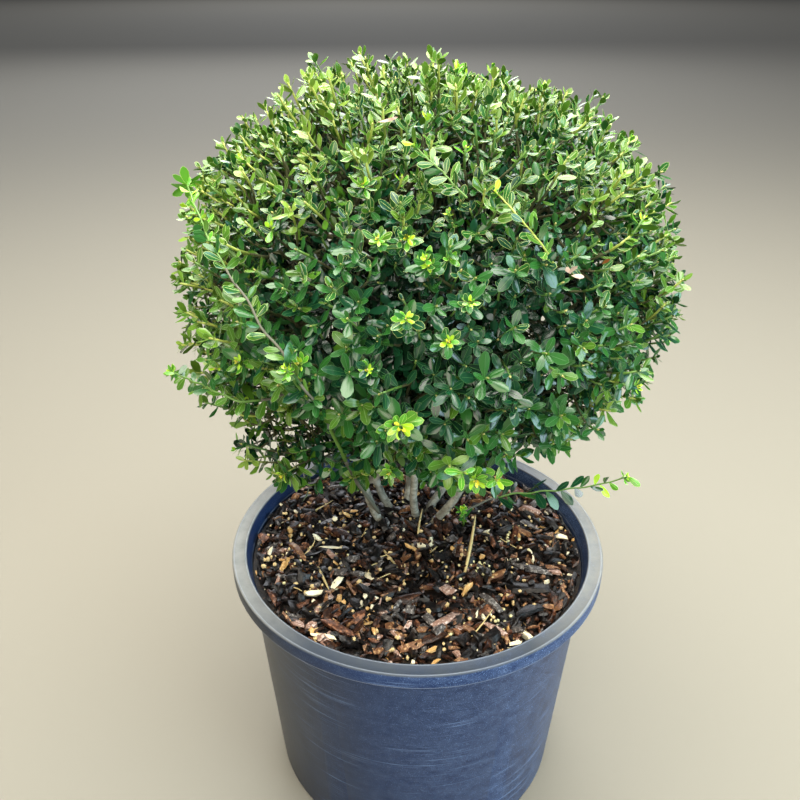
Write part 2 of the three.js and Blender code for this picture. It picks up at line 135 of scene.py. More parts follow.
def selectOnly(piece):
    bpy.ops.object.select_all(action="DESELECT")
    piece.select_set(True)
    bpy.context.view_layer.objects.active = piece


def applyModifier(piece, kind, **settings):
    modifier = piece.modifiers.new(kind.title(), kind)
    for key, value in settings.items():
        setattr(modifier, key, value)
    selectOnly(piece)
    bpy.ops.object.modifier_apply(modifier=modifier.name)


# The control point of a line that leaves its start and arches over, to reach its end in a given direction
def archMiddle(starts, ends, ways, pull=0.5):
    return ends - ways * np.linalg.norm(ends - starts, axis=1)[:, None] * pull


# Arched lines, as arrays of points
def archedLines(starts, ends, ways, points, pull=0.5):
    middle = archMiddle(starts, ends, ways, pull)
    s = np.linspace(0, 1, points)[None, :, None]
    return starts[:, None] * (1 - s) ** 2 + 2 * middle[:, None] * s * (1 - s) + ends[:, None] * s ** 2


# Round closed tubes about many lines at once
def tubeArrays(lines, radii, sides):
    count, rings, _ = lines.shape
    along = unit(np.gradient(lines, axis=1))
    steady = np.where(np.abs(along[:, :1, 2:]) < 0.9, up, np.array([1.0, 0, 0]))
    aside = unit(np.cross(along, steady))
    other = np.cross(along, aside)
    angles = np.arange(sides) / sides * 2 * math.pi
    ring = aside[:, :, None] * np.cos(angles)[:, None] + other[:, :, None] * np.sin(angles)[:, None]
    corners = (lines[:, :, None] + ring * radii[:, :, None, None]).reshape(count, -1, 3)
    corners = np.concatenate([corners, lines[:, :1], lines[:, -1:]], axis=1)
    first, last, one = rings * sides, rings * sides + 1, []
    for k in range(sides):
        n = (k + 1) % sides
        for r in range(0, (rings - 1) * sides, sides):
            one.append([r + k, r + sides + k, r + sides + n, r + n])
        one.append([first, k, n])
        one.append([last, (rings - 1) * sides + n, (rings - 1) * sides + k])
    return corners, one


def makeTubes(name, lines, radii, sides, finish, slotName):
    corners, one = tubeArrays(lines, radii, sides)
    dress(newPiece(name, corners, one, finish), slotName)


# The pot, in millimetres: a tapering wall, a heel with drain notches, and a flange with a turned-down rim
pot = {
    "height": 206, "rimRadius": 140, "lipInnerRadius": 129.5, "rimDrop": 11, "wallTopRadius": 128.2,
    "baseRadius": 115.3, "wall": 2, "floor": 2.5, "heel": 3, "sides": 128, "smoothUnder": 35,
    "notches": 6, "notchRadius": 8, "notchHeight": 3, "notchDepth": 26, "notchSides": 28,
    # the shade colour is painted shade on the left; the scuff, dust and pale dust colours also paint the
    # sky's reflection, and the rubbed colour the edges' highlights
    "body": "#0d2449", "shade": "#0f131a", "scuffAndSkySheen": "#8aa4d0", "dustAndSheen": "#3c424b", "paleDustAndSheen": "#8a8a86",
    "rubbedAndHighlit": "#a3abb8",
}


# Injection-moulded polypropylene, blue-black and satin, with painted shade that makes it greyer on the left;
# scuffs and nicks, denser on the right, that also paint the sky's bluish reflection there; thin arc
# scratches; a dusty lip whose grey is partly painted reflection; and rubbed edges that also paint their thin
# highlights
def potFinish():
    finish = newFinish("mouldedPolypropylene", pot["body"], 0.4, 1.36)
    tree = finish.node_tree
    shader = tree.nodes["Principled BSDF"]
    place = addNode(tree, "ShaderNodeTexCoord").outputs["Object"]
    axes = addNode(tree, "ShaderNodeSeparateXYZ", None, {"Vector": place})
    x, z = axes.outputs["X"], axes.outputs["Z"]
    top, lipEdge = pot["height"] * mm, pot["lipInnerRadius"] * mm
    rimFoot = (pot["height"] - pot["rimDrop"]) * mm

    # painted shade: nearly black on the left, but the inside of the wall, above the mix, keeps its blue all
    # round
    tone = addNode(tree, "ShaderNodeMapRange", {"From Min": -0.11, "From Max": -0.03}, {"Value": x})
    level = addNode(tree, "ShaderNodeVectorMath", {"operation": "MULTIPLY", 1: (1, 1, 0)}, {0: place})
    away = addNode(tree, "ShaderNodeVectorMath", {"operation": "LENGTH"}, {0: level})
    within = addNode(tree, "ShaderNodeMapRange",
                     {"From Min": lipEdge + 0.2 * mm, "From Max": lipEdge - 0.2 * mm},
                     {"Value": away.outputs["Value"]})
    above = addNode(tree, "ShaderNodeMapRange",
                    {"From Min": rimFoot - 1.5 * mm, "From Max": rimFoot - 0.5 * mm}, {"Value": z})
    inside = addNode(tree, "ShaderNodeMath", {"operation": "MULTIPLY"}, {0: within, 1: above})
    blue = addNode(tree, "ShaderNodeMath", {"operation": "MAXIMUM"}, {0: tone, 1: inside})
    body = addNode(tree, "ShaderNodeMix",
                   {"data_type": "RGBA", 6: linear(pot["shade"]), 7: linear(pot["body"])}, {0: blue})

    # scuffs of some 10 mm that run round the wall, broken into specks under 1 mm, and denser on the right,
    # where they also paint the sky's bluish reflection on that side
    side = addNode(tree, "ShaderNodeMapRange",
                   {"From Min": -0.05, "From Max": 0.11, "To Min": 0.14, "To Max": 0.7}, {"Value": x})
    squat = addNode(tree, "ShaderNodeMapping", {"Scale": (80, 80, 150)}, {"Vector": place})
    clouds = addNode(tree, "ShaderNodeTexNoise", {"Scale": 1, "Detail": 12, "Roughness": 0.86},
                     {"Vector": squat})
    cloudy = addNode(tree, "ShaderNodeMapRange", {"From Min": 0.42, "From Max": 0.69}, {"Value": clouds})
    specks = addNode(tree, "ShaderNodeTexNoise", {"Scale": 1500, "Detail": 3, "Roughness": 0.7},
                     {"Vector": place})
    speckled = addNode(tree, "ShaderNodeMapRange", {"From Min": 0.44, "From Max": 0.66, "To Min": 0.3},
                       {"Value": specks})
    broken = addNode(tree, "ShaderNodeMath", {"operation": "MULTIPLY"}, {0: cloudy, 1: speckled})
    scuffs = addNode(tree, "ShaderNodeMath", {"operation": "MULTIPLY"}, {0: broken, 1: side})

    # scratches a millimetre high that run some 100 mm round the wall, in groups some 60 mm across, and fewer
    # on the left
    stretch = addNode(tree, "ShaderNodeMapping", {"Scale": (9, 9, 900)}, {"Vector": place})
    arcs = addNode(tree, "ShaderNodeTexNoise", {"Scale": 1, "Detail": 3, "Roughness": 0.7},
                   {"Vector": stretch})
    lines = addNode(tree, "ShaderNodeMapRange", {"From Min": 0.57, "From Max": 0.68, "To Max": 0.85},
                    {"Value": arcs})
    patches = addNode(tree, "ShaderNodeTexNoise", {"Scale": 16, "Detail": 3, "Roughness": 0.6},
                      {"Vector": place})
    group = addNode(tree, "ShaderNodeMapRange", {"From Min": 0.4, "From Max": 0.62}, {"Value": patches})
    grouped = addNode(tree, "ShaderNodeMath", {"operation": "MULTIPLY"}, {0: lines, 1: group})
    fewer = addNode(tree, "ShaderNodeMapRange", {"From Min": -0.11, "From Max": -0.01, "To Min": 0.15},
                    {"Value": x})
    scratched = addNode(tree, "ShaderNodeMath", {"operation": "MULTIPLY"}, {0: grouped, 1: fewer})

    # nicks: the brightest of the specks, also where there is no scuff, and denser on the right with the
    # painted reflection
    nicks = addNode(tree, "ShaderNodeMapRange", {"From Min": 0.6, "From Max": 0.66, "To Max": 1.5},
                    {"Value": specks})
    nicked = addNode(tree, "ShaderNodeMath", {"operation": "MULTIPLY"}, {0: nicks, 1: side})
    marked = addNode(tree, "ShaderNodeMath", {"operation": "MAXIMUM"}, {0: nicked, 1: scratched})
    worn = addNode(tree, "ShaderNodeMath", {"operation": "MAXIMUM"}, {0: scuffs, 1: marked})
    scuffed = addNode(tree, "ShaderNodeMix", {"data_type": "RGBA", 7: linear(pot["scuffAndSkySheen"])},
                      {0: worn, 6: body.outputs[2]})

    # dust lies on the lip, thinner in patches of about 15 mm; its grey partly paints the sky's reflection,
    # and it is paler toward both sides, which is painted reflection
    onLip = addNode(tree, "ShaderNodeMapRange", {"From Min": top - 1.4 * mm, "From Max": top - 0.6 * mm},
                    {"Value": z})
    film = addNode(tree, "ShaderNodeTexNoise", {"Scale": 70, "Detail": 5, "Roughness": 0.7},
                   {"Vector": place})
    patchy = addNode(tree, "ShaderNodeMapRange", {"From Min": 0.3, "From Max": 0.6, "To Min": 0.7},
                     {"Value": film})
    dusty = addNode(tree, "ShaderNodeMath", {"operation": "MULTIPLY"}, {0: onLip, 1: patchy})
    aside = addNode(tree, "ShaderNodeMath", {"operation": "ABSOLUTE"}, {0: x})
    sheenToSides = addNode(tree, "ShaderNodeMapRange", {"From Min": 0.07, "From Max": 0.135}, {"Value": aside})
    dustAndSheen = addNode(tree, "ShaderNodeMix",
                   {"data_type": "RGBA", 6: linear(pot["dustAndSheen"]), 7: linear(pot["paleDustAndSheen"])}, {0: sheenToSides})
    dusted = addNode(tree, "ShaderNodeMix", {"data_type": "RGBA"},
                     {0: dusty, 6: scuffed.outputs[2], 7: dustAndSheen.outputs[2]})

    # the lip's two raised edges are rubbed pale, and the rim's lower edge faintly; the pale paint also stands
    # for the thin highlights along these edges
    raised = addNode(tree, "ShaderNodeMapRange",
                     {"From Min": top - 0.3 * mm, "From Max": top - 0.05 * mm, "To Max": 0.3}, {"Value": z})
    foot = addNode(tree, "ShaderNodeMath", {"operation": "COMPARE", 1: rimFoot + 0.5 * mm, 2: 0.6 * mm},
                   {0: z})
    faint = addNode(tree, "ShaderNodeMath", {"operation": "MULTIPLY", 1: 0.25}, {0: foot})
    edges = addNode(tree, "ShaderNodeMath", {"operation": "MAXIMUM"}, {0: raised, 1: faint})
    colour = addNode(tree, "ShaderNodeMix", {"data_type": "RGBA", 7: linear(pot["rubbedAndHighlit"])},
                     {0: edges, 6: dusted.outputs[2]})
    tree.links.new(colour.outputs[2], shader.inputs["Base Color"])

    # worn and dusty places are less glossy
    dull = addNode(tree, "ShaderNodeMath", {"operation": "MAXIMUM"}, {0: worn, 1: dusty})
    rough = addNode(tree, "ShaderNodeMapRange", {"To Min": 0.36, "To Max": 0.62}, {"Value": dull})
    tree.links.new(rough.outputs[0], shader.inputs["Roughness"])
    # the mould's fine waviness, some 20 mm across
    waves = addNode(tree, "ShaderNodeTexNoise", {"Scale": 50, "Detail": 1}, {"Vector": place})
    ripple = addNode(tree, "ShaderNodeBump", {"Strength": 0.15, "Distance": 0.8 * mm}, {"Height": waves})
    tree.links.new(ripple.outputs[0], shader.inputs["Normal"])
    return finish


def makePot():
    top, rimFoot = pot["height"], pot["height"] - pot["rimDrop"]
    rim, lip, wall = pot["rimRadius"], pot["lipInnerRadius"], pot["wall"]
    base, wallTop, floor = pot["baseRadius"], pot["wallTopRadius"], pot["floor"]
    # radius and height, from the heel up the outside, over the rim and down the inside
    section = [
        (base - 1, 0.8), (base, pot["heel"]), (wallTop, rimFoot),
        (wallTop + 0.6, rimFoot + 2), (lip + wall, top - wall), (rim - wall, top - wall),  # under the flange
        (rim - wall, rimFoot + 0.4), (rim - wall + 0.4, rimFoot), (rim - 0.5, rimFoot), (rim, rimFoot + 0.6),
        (rim, top - 1.4), (rim - 0.5, top - 0.4), (rim - 1.4, top), (rim - 2.6, top - 0.5),  # the outer edge
        (lip + 1.8, top - 0.5), (lip + 0.9, top), (lip + 0.1, top - 0.3), (lip - 0.3, top - 1.3),  # the inner
        (wallTop - wall, rimFoot), (base - wall, floor + 2), (base - wall - 2, floor),
    ]
    bpy.ops.object.select_all(action="DESELECT")
    radius, height = base - pot["heel"], 0
    bpy.ops.mesh.primitive_circle_add(vertices=pot["sides"], radius=radius * mm, fill_type="NGON")
    shell = bpy.context.active_object
    shell.name = shell.data.name = "potShell"
    bpy.ops.object.mode_set(mode="EDIT")
    bpy.ops.mesh.select_mode(type="FACE")
    for nextRadius, nextHeight in section:
        grow = nextRadius / radius
        bpy.ops.mesh.extrude_region_move(TRANSFORM_OT_translate={"value": (0, 0, (nextHeight - height) * mm)})
        bpy.ops.transform.resize(value=(grow, grow, 1), center_override=(0, 0, nextHeight * mm))
        radius, height = nextRadius, nextHeight
    bpy.ops.mesh.select_all(action="SELECT")
    bpy.ops.mesh.normals_make_consistent(inside=False)
    bpy.ops.object.mode_set(mode="OBJECT")

    # drain notches round the heel
    bpy.ops.object.select_all(action="DESELECT")
    out, cutters = base * mm, []
    for i in range(pot["notches"]):
        turn = math.pi / 2 + (i + 0.5) / pot["notches"] * 2 * math.pi
        bpy.ops.mesh.primitive_cylinder_add(
            vertices=pot["notchSides"], radius=pot["notchRadius"] * mm, depth=pot["notchDepth"] * mm,
            location=(out * math.cos(turn), out * math.sin(turn), pot["notchHeight"] * mm),
            rotation=(math.pi / 2, 0, turn + math.pi / 2))
        cutters.append(bpy.context.active_object)
    for cutter in cutters:
        applyModifier(shell, "BOOLEAN", operation="DIFFERENCE", object=cutter, solver="EXACT")
        bpy.data.objects.remove(cutter)
    shell.data.materials.append(potFinish())
    selectOnly(shell)
    bpy.ops.object.shade_smooth_by_angle(angle=math.radians(pot["smoothUnder"]))
    dress(shell, "pot", "pot")


makePot()
print("pot made")

# The potting mix: composted bark in crumbs, splinters and rounded plates, with prills, wood and straws
mix = {
    "belowRim": 12, "bottom": 2.8, "clearOfWall": 0.4,
    "bedDrop": 2, "rings": 14, "lumps": 4.4, "lumpSize": 20,
    # how many chips, and the ranges of their length, width over length, height over width, and tilt
    "chips": [
        (1500, (1.8, 4.6), (0.5, 0.95), (0.5, 0.9), (0.3, 0.9)),  # crumbs
        (1800, (6, 15), (0.2, 0.4), (0.5, 0.9), (0.2, 0.6)),  # splinters
        (1000, (9, 17), (0.36, 0.62), (0.25, 0.5), (0.15, 0.5)),  # plates
    ],
    "rise": (-5, 4.2), "thinnest": 0.9, "chipsClear": 1.5, "bedSmoothUnder": 40, "chipsSmoothUnder": 48,
    # tint, colour, the paler colour where it was broken, share and roughness
    "tints": [
        ("barkChipBlack", "#0b0909", "#332a26", 0.47, 0.34),
        ("barkChipUmber", "#27160f", "#603e2b", 0.22, 0.34),
        ("barkChipRusset", "#4e2f21", "#a8714f", 0.08, 0.38),
        ("barkChipBrown", "#6c472e", "#c49a6c", 0.09, 0.42),
        ("barkChipTan", "#c99a5c", "#f0d098", 0.075, 0.5),
        ("woodChipCream", "#f4e6c0", "#fff8e0", 0.06, 0.55),
        ("barkChipPink", "#94705f", "#e8d2c4", 0.04, 0.42),
        ("barkChipGrey", "#48423f", "#a8a099", 0.05, 0.4),
    ],
    # the two palest tints, and the share of their chips past a length that is black instead
    "pale": (4, 5), "paleUpTo": 9, "blackened": 0.75,
    # larger pieces on the top: from, to, width and tint
    "large": [
        ((-66, -82), (-42, -98), 9, 2), ((-75, -4), (-56, -7), 2.8, 5), ((43, -56), (58, -73), 7, 7),
        ((43, -85), (59, -97), 6, 6), ((-75, -95), (-55, -100), 2.8, 5), ((57, -48), (93, -52), 11, 0),
        ((71, -26), (98, -34), 8, 7), ((93, -50), (98, -71), 8, 1), ((85, 49), (103, 37), 9, 6),
        ((22, 6), (33, 2), 10, 7), ((10, -89), (29, -75), 8, 6), ((-20, -65), (4, -57), 7, 1),
        ((65, -79), (87, -67), 8, 0), ((-99, 2), (-83, -20), 7, 3), ((-2, -105), (16, -95), 8, 1),
        ((-14, -111), (2, -103), 8, 3), ((-44, -46), (-30, -61), 8, 0), ((14, -46), (27, -57), 9, 6),
    ],
    "largeRise": (3.2, 4.4), "largeFlat": 0.42, "largeTilt": 0.08, "largeRoll": 0.4, "roll": 0.45,
    # clusters of slow-release prills: place, width and how many
    "prills": [(74, 11, 11, 14), (50, -32, 16, 22), (56, -80, 9, 8), (0, -6, 110, 36)],
    # how many pale crumbs of wood and thin straws, and the straws' lengths and radius
    "crumbs": 260, "straws": 12, "strawLengths": (8, 24), "strawRadius": 0.5,
    # straws and slivers that stand out: from, to, with their heights above the mix, and radius
    "slivers": [
        ((35, -32, 2), (45, 6, 26), 1.3), ((-74, -28, 4), (-64, -52, 3), 1), ((-29, -2, 3), (-13, -34, 4), 1),
        ((1, 11, 3), (5, 33, 12), 0.8), ((35, -97, 3), (51, -75, 6), 0.6), ((-95, 33, 2), (-69, 53, 6), 0.8),
    ],
}
mixTop = pot["height"] - mix["belowRim"]


def innerRadiusAt(z):
    share = (z - pot["floor"]) / (pot["height"] - pot["rimDrop"] - pot["floor"])
    return lerp(pot["baseRadius"], pot["wallTopRadius"], share) - pot["wall"]


def makeMixBed():
    low, high = innerRadiusAt(mix["bottom"]) - mix["clearOfWall"], innerRadiusAt(mixTop) - mix["clearOfWall"]
    top = mixTop - mix["bedDrop"]
    depth = top - mix["bottom"]
    bpy.ops.object.select_all(action="DESELECT")
    bpy.ops.mesh.primitive_cone_add(vertices=96, radius1=low * mm, radius2=high * mm, depth=depth * mm,
                                    location=(0, 0, (mix["bottom"] + depth / 2) * mm))
    bed = bpy.context.active_object
    bed.name = bed.data.name = "mixBed"
    bpy.ops.object.transform_apply(location=True)
    for face in bed.data.polygons:
        face.select = face.normal.z > 0.9
    bpy.ops.object.mode_set(mode="EDIT")
    bpy.ops.mesh.select_mode(type="FACE")
    for _ in range(mix["rings"]):
        bpy.ops.mesh.inset(thickness=high / (mix["rings"] + 0.6) * mm)  # leaves a small face in the middle
    bpy.ops.mesh.poke()
    bpy.ops.object.mode_set(mode="OBJECT")
    topGroup = bed.vertex_groups.new(name="bedTop")
    inside = [v.index for v in bed.data.vertices
              if v.co.z > (top - 1) * mm and v.co.xy.length < (high - 1) * mm]
    topGroup.add(inside, 1, "REPLACE")
    lumps = bpy.data.textures.new("lumps", "CLOUDS")
    lumps.noise_scale = mix["lumpSize"] * mm
    applyModifier(bed, "DISPLACE", texture=lumps, direction="Z", strength=mix["lumps"] * mm, mid_level=0.6,
                  vertex_group="bedTop")
    # the bed under the chips is near-black, painted shade for the gaps between them, with flecks of paler
    # fines
    bed.data.materials.append(compostFinish("barkFinesWithPaintedShade", "#0a0706", "#3a2a1e", 0.6))
    selectOnly(bed)
    bpy.ops.object.shade_smooth_by_angle(angle=math.radians(mix["bedSmoothUnder"]))
    dress(bed, "mix", "potting_mix")


# Composted bark: flecks of about 2 mm in the paler colour of its broken faces, and a crumbly surface
def compostFinish(name, colour, pale, roughness):
    finish = newFinish(name, colour, roughness, 1.38)
    tree = finish.node_tree
    shader = tree.nodes["Principled BSDF"]
    place = addNode(tree, "ShaderNodeTexCoord").outputs["Object"]
    flecks = addNode(tree, "ShaderNodeTexNoise", {"Scale": 420, "Detail": 3, "Roughness": 0.65},
                     {"Vector": place})
    ramp = addNode(tree, "ShaderNodeValToRGB", None, {"Fac": flecks})
    whole, broken = ramp.color_ramp.elements
    whole.position, broken.position = 0.5, 0.68
    whole.color, broken.color = linear(colour), linear(pale)
    tree.links.new(ramp.outputs[0], shader.inputs["Base Color"])
    bump = addNode(tree, "ShaderNodeBump", {"Strength": 0.7, "Distance": 0.7 * mm}, {"Height": flecks})
    tree.links.new(bump.outputs[0], shader.inputs["Normal"])
    return finish


# Flat chips with six ragged sides in three layers, worn round at the edges, each tapered and a little curled
def chipArrays(places, lengths, widths, heights, turns, pitches, rolls):
    count, sides = len(places), 6
    around = (np.arange(sides) + 0.5) / sides * 2 * math.pi + dice.normal(0, 0.18, (count, 1, sides))
    c, s = np.cos(around), np.sin(around)
    ragged = 1 + dice.normal(0, 0.13, (count, 1, sides)) + dice.normal(0, 0.05, (count, 3, sides))
    out = np.array([0.72, 1, 0.66])[:, None] * ragged * 0.5
    x = np.sign(c) * np.abs(c) ** 0.6 * out
    y = np.sign(s) * np.abs(s) ** 0.8 * out * (1 + dice.normal(0, 0.6, (count, 1, 1)) * x)
    z = np.array([-0.5, 0.05, 0.5])[:, None] + dice.normal(0, 0.13, (count, 3, sides))
    z = z + dice.normal(0, 1.6, (count, 1, 1)) * (x * x - 0.1)
    sizes = [item[:, None, None] for item in (lengths, widths, heights)]
    corners = np.stack([x * sizes[0], y * sizes[1], z * sizes[2]], axis=-1).reshape(count, -1, 3)
    corners = turnBy(corners, rolls, 0)
    corners = turnBy(corners, pitches, 1)
    corners = turnBy(corners, turns, 2) + places[:, None]
    one = [list(reversed(range(sides))), [2 * sides + k for k in range(sides)]]
    for ring in range(2):
        for k in range(sides):
            a, b = ring * sides + k, ring * sides + (k + 1) % sides
            one.append([a, b, b + sides, a + sides])
    return corners, one


# Turns each item's corners about x, y or z by its own angle
def turnBy(corners, angles, axis):
    c, s = np.cos(angles)[:, None], np.sin(angles)[:, None]
    a, b = [(1, 2), (2, 0), (0, 1)][axis]
    turned = corners.copy()
    turned[..., a] = corners[..., a] * c - corners[..., b] * s
    turned[..., b] = corners[..., a] * s + corners[..., b] * c
    return turned


# Chips all over the mix, and the larger pieces where they stand out
def makeChips():
    sizes = [[dice.uniform(low, high, many) for low, high in ranges] for many, *ranges in mix["chips"]]
    lengths, slims, flats, tilts = [np.concatenate(item) for item in zip(*sizes)]
    count = len(lengths)
    widths = lengths * slims
    heights = np.maximum(mix["thinnest"], widths * flats)
    inner = innerRadiusAt(mixTop) - mix["chipsClear"]
    far = (inner - widths / 2) * np.sqrt(dice.random(count))
    spin = dice.random(count) * 2 * math.pi
    rise = dice.uniform(*mix["rise"], count)
    places = np.stack([far * np.cos(spin), far * np.sin(spin), mixTop + rise], axis=1)
    pitches = dice.normal(0, 1, count) * tilts
    # those beside the wall lie along it
    turns = np.where(far > inner - lengths / 2, spin + math.pi / 2 + dice.normal(0, 0.12, count),
                     dice.random(count) * 2 * math.pi)
    shares = np.array([tint[3] for tint in mix["tints"]])
    dealt = dice.choice(len(shares), count, p=shares / shares.sum())
    longPale = (lengths > mix["paleUpTo"]) & np.isin(dealt, mix["pale"])
    dealt = np.where(longPale & (dice.random(count) < mix["blackened"]), 0, dealt)

    starts, ends = [np.array([item[k] for item in mix["large"]], float) for k in (0, 1)]
    wide, kinds = [np.array([item[k] for item in mix["large"]]) for k in (2, 3)]
    across = ends - starts
    many = len(wide)
    largePlaces = np.column_stack([(starts + ends) / 2, mixTop + dice.uniform(*mix["largeRise"], many)])
    largeTurns = np.arctan2(across[:, 1], across[:, 0])
    largePitches = dice.normal(0, mix["largeTilt"], many)
    rolls = dice.normal(0, mix["roll"], count + many)
    rolls[count:] *= mix["largeRoll"]
    corners, one = chipArrays(
        np.vstack([places, largePlaces]), np.append(lengths, np.hypot(*across.T)), np.append(widths, wide),
        np.append(heights, wide * mix["largeFlat"]), np.append(turns, largeTurns),
        np.append(pitches, largePitches), rolls)
    dealt = np.append(dealt, kinds)
    for i, (name, colour, pale, _, roughness) in enumerate(mix["tints"]):
        finish = compostFinish(name + "Finish", colour, pale, roughness)
        chips = newPiece(name, corners[dealt == i], one, finish)
        selectOnly(chips)
        bpy.ops.object.shade_smooth_by_angle(angle=math.radians(mix["chipsSmoothUnder"]))
        dress(chips, "mix")


# Small beads on the mix, from one ball: round where squash is 1, and else flat and angular
def makeBeads(name, colour, spots, size, squash):
    bpy.ops.object.select_all(action="DESELECT")
    bpy.ops.mesh.primitive_ico_sphere_add(subdivisions=1, radius=1)
    bead = bpy.context.active_object
    ball = np.array([v.co[:] for v in bead.data.vertices])
    one = [list(face.vertices) for face in bead.data.polygons]
    bpy.data.objects.remove(bead)
    count = len(spots)
    places = np.column_stack([spots, mixTop + dice.uniform(1.5, 4, count)])
    sizes = dice.uniform(*size, (count, 1, 1)) * (1 + (1 - squash) * dice.uniform(-0.4, 0.6, (count, 1, 3)))
    corners = ball[None] * sizes + places[:, None]
    dress(newPiece(name, corners, one, newFinish(name + "Finish", colour, 0.6), smooth=squash == 1), "mix")


# Slow-release prills in clusters, pale crumbs of wood, and thin straws and slivers on the mix
def makeMixBits():
    inner = innerRadiusAt(mixTop)
    reach = inner - 6
    clusters = [np.array([x, y]) + dice.normal(0, wide / 2, (many, 2)) for x, y, wide, many in mix["prills"]]
    far, turn = reach * np.sqrt(dice.random(mix["crumbs"])), dice.random(mix["crumbs"]) * 2 * math.pi
    crumbs = np.column_stack([far * np.cos(turn), far * np.sin(turn)])
    prills = np.vstack(clusters)
    makeBeads("prills", "#e0d49c", prills[np.hypot(*prills.T) < reach], (1, 1.4), 1)
    makeBeads("woodCrumbs", "#d8bb84", crumbs[np.hypot(*crumbs.T) < reach], (0.6, 1.9), 0.3)

    count = mix["straws"]
    far, turn, lie = reach * 0.9 * np.sqrt(dice.random(count)), dice.random(count) * 7, dice.random(count) * 7
    starts = np.stack([far * np.cos(turn), far * np.sin(turn), mixTop + dice.uniform(1, 4, count)], axis=1)
    ways = np.stack([np.cos(lie), np.sin(lie), dice.uniform(-0.05, 0.3, count)], axis=1)
    # none is long enough to reach the wall
    long = np.minimum(dice.uniform(*mix["strawLengths"], count), np.maximum(6, inner - far - 4))[:, None]
    lines = archedLines(starts, starts + ways * long, unit(ways + dice.normal(0, 0.25, ways.shape)), 5)
    slivers = np.array([[start, end] for start, end, _ in mix["slivers"]], float) + up * mixTop
    bowed = unit(slivers[:, 1] - slivers[:, 0] + dice.normal(0, 2, (len(slivers), 3)))
    lines = np.vstack([lines, archedLines(slivers[:, 0], slivers[:, 1], bowed, 5)])
    radii = np.append(np.full(count, mix["strawRadius"]), [radius for _, _, radius in mix["slivers"]])
    taper = [0.8, 1, 1, 0.8, 0.4]
    makeTubes("straws", lines, radii[:, None] * taper, 4, newFinish("dryStraw", "#cdb57c", 0.7), "mix")


makeMixBed()
makeChips()
makeMixBits()
print("potting mix made")

# The crown's outline, as in the part's source: reach from its centre at each angle from straight up, toward
# its four sides, and hollows and bulges about a direction (angles, height and spread)
crown = {
    "centre": np.array([9.0, 40.0, 386.0]),
    "polar": [0, 30, 60, 90, 110, 130, 150, 180],
    "left": [151, 170, 181, 173, 183, 184, 160, 128],
    "right": [151, 163, 175, 170, 158, 148, 138, 128],
    "front": [151, 164, 167, 162, 155, 145, 140, 128],
    "back": [151, 164, 172, 170, 162, 150, 138, 128],
    "bumps": [
        (50, 270, -16, 14), (116, 231, -78, 14), (134, 305, -44, 13), (129, 200, 16, 15), (117, 195, -22, 8),
        (25, 17, -9, 9),
    ],
    "heart": np.array([4.0, 46.0, 318.0]),
    # rings of masses: name, how many, the first one's turn, angle from straight up and share of the reach
    "rings": [
        ("top", 1, 0, 0, 0.62), ("upper", 5, 18, 49, 0.62), ("middle", 7, -90, 89, 0.62),
        ("lower", 5, 184, 130, 0.66),
    ],
    "stemLength": 34,
}


# How far the outline lies from the crown's centre in each direction
def crownReach(directions):
    polar = np.degrees(np.arccos(np.clip(directions[..., 2], -1, 1)))
    flat = np.maximum(1e-9, directions[..., 0] ** 2 + directions[..., 1] ** 2)
    sideways = directions[..., 0] ** 2 / flat
    left, right, front, back = [np.interp(polar, crown["polar"], crown[side])
                                for side in ("left", "right", "front", "back")]
    reach = sideways * np.where(directions[..., 0] < 0, left, right)
    reach = reach + (1 - sideways) * np.where(directions[..., 1] < 0, front, back)
    for bumpPolar, turn, height, spread in crown["bumps"]:
        aside = np.degrees(np.arccos(np.clip(directions @ pointing(bumpPolar, turn), -1, 1))) / spread
        reach = reach + height * np.exp(-aside ** 2)
    return reach


# Each mass of foliage: its seed in the crown, its stem's direction, and its entry, where the bough ends
def placeMasses():
    masses = []
    for _, count, firstTurn, polar, out in crown["rings"]:
        for i in range(count):
            turn = firstTurn + i * 360 / count
            toward = pointing(polar, turn)
            seed = crown["centre"] + toward * out * crownReach(toward)
            axis = unit(seed - crown["heart"])
            entry = seed - axis * crown["stemLength"]
            masses.append({"polar": polar, "turn": turn, "seed": seed, "axis": axis, "entry": entry})
    return masses


# The stems and boughs, placed by the source's rule
limbs = {
    # the angle that each stem leans toward, and where it comes out of the mix
    "feet": [(30, 12, 52), (90, -7, 57), (165, -20, 46), (208, -29, 33), (262, 0, 40), (334, 15, 33)],
    "baseRadius": 3.4, "topRadius": 2.8, "flare": 1, "flareShare": 0.12, "sunk": 6, "footLean": 0.6,
    "topSpread": 42, "topHeight": 278, "topWobble": 9, "bow": 10, "bowWobble": 3, "stemSteps": 60,
    "firstFork": 0.56, "lastFork": 0.84, "stubLength": 12, "stubAngle": 54,
    "leavePull": 0.36, "arrivePull": 0.3,
    "boughRadius": 2.5, "boughTip": 1.9, "seedRadius": 1.1, "bendPoints": 24, "boughPoints": 34,
    # how far they stray from their lines, how much knots thicken them, the remesh size and the bark's relief
    "crook": 0.7, "knots": 0.1, "meshSize": 1, "ridgeWidth": 6, "ridgeHeight": 0.5,
    "bark": "#7d7b70", "barkHollows": "#5d5b50", "lichen": "#a4a497",
}


# Points spaced evenly along a line of points
def evenly(points, count):
    steps = np.linalg.norm(np.diff(points, axis=0), axis=1)
    along = np.concatenate([[0], np.cumsum(steps)])
    wanted = np.linspace(0, along[-1], count)
    return np.stack([np.interp(wanted, along, points[:, k]) for k in range(3)], axis=1)


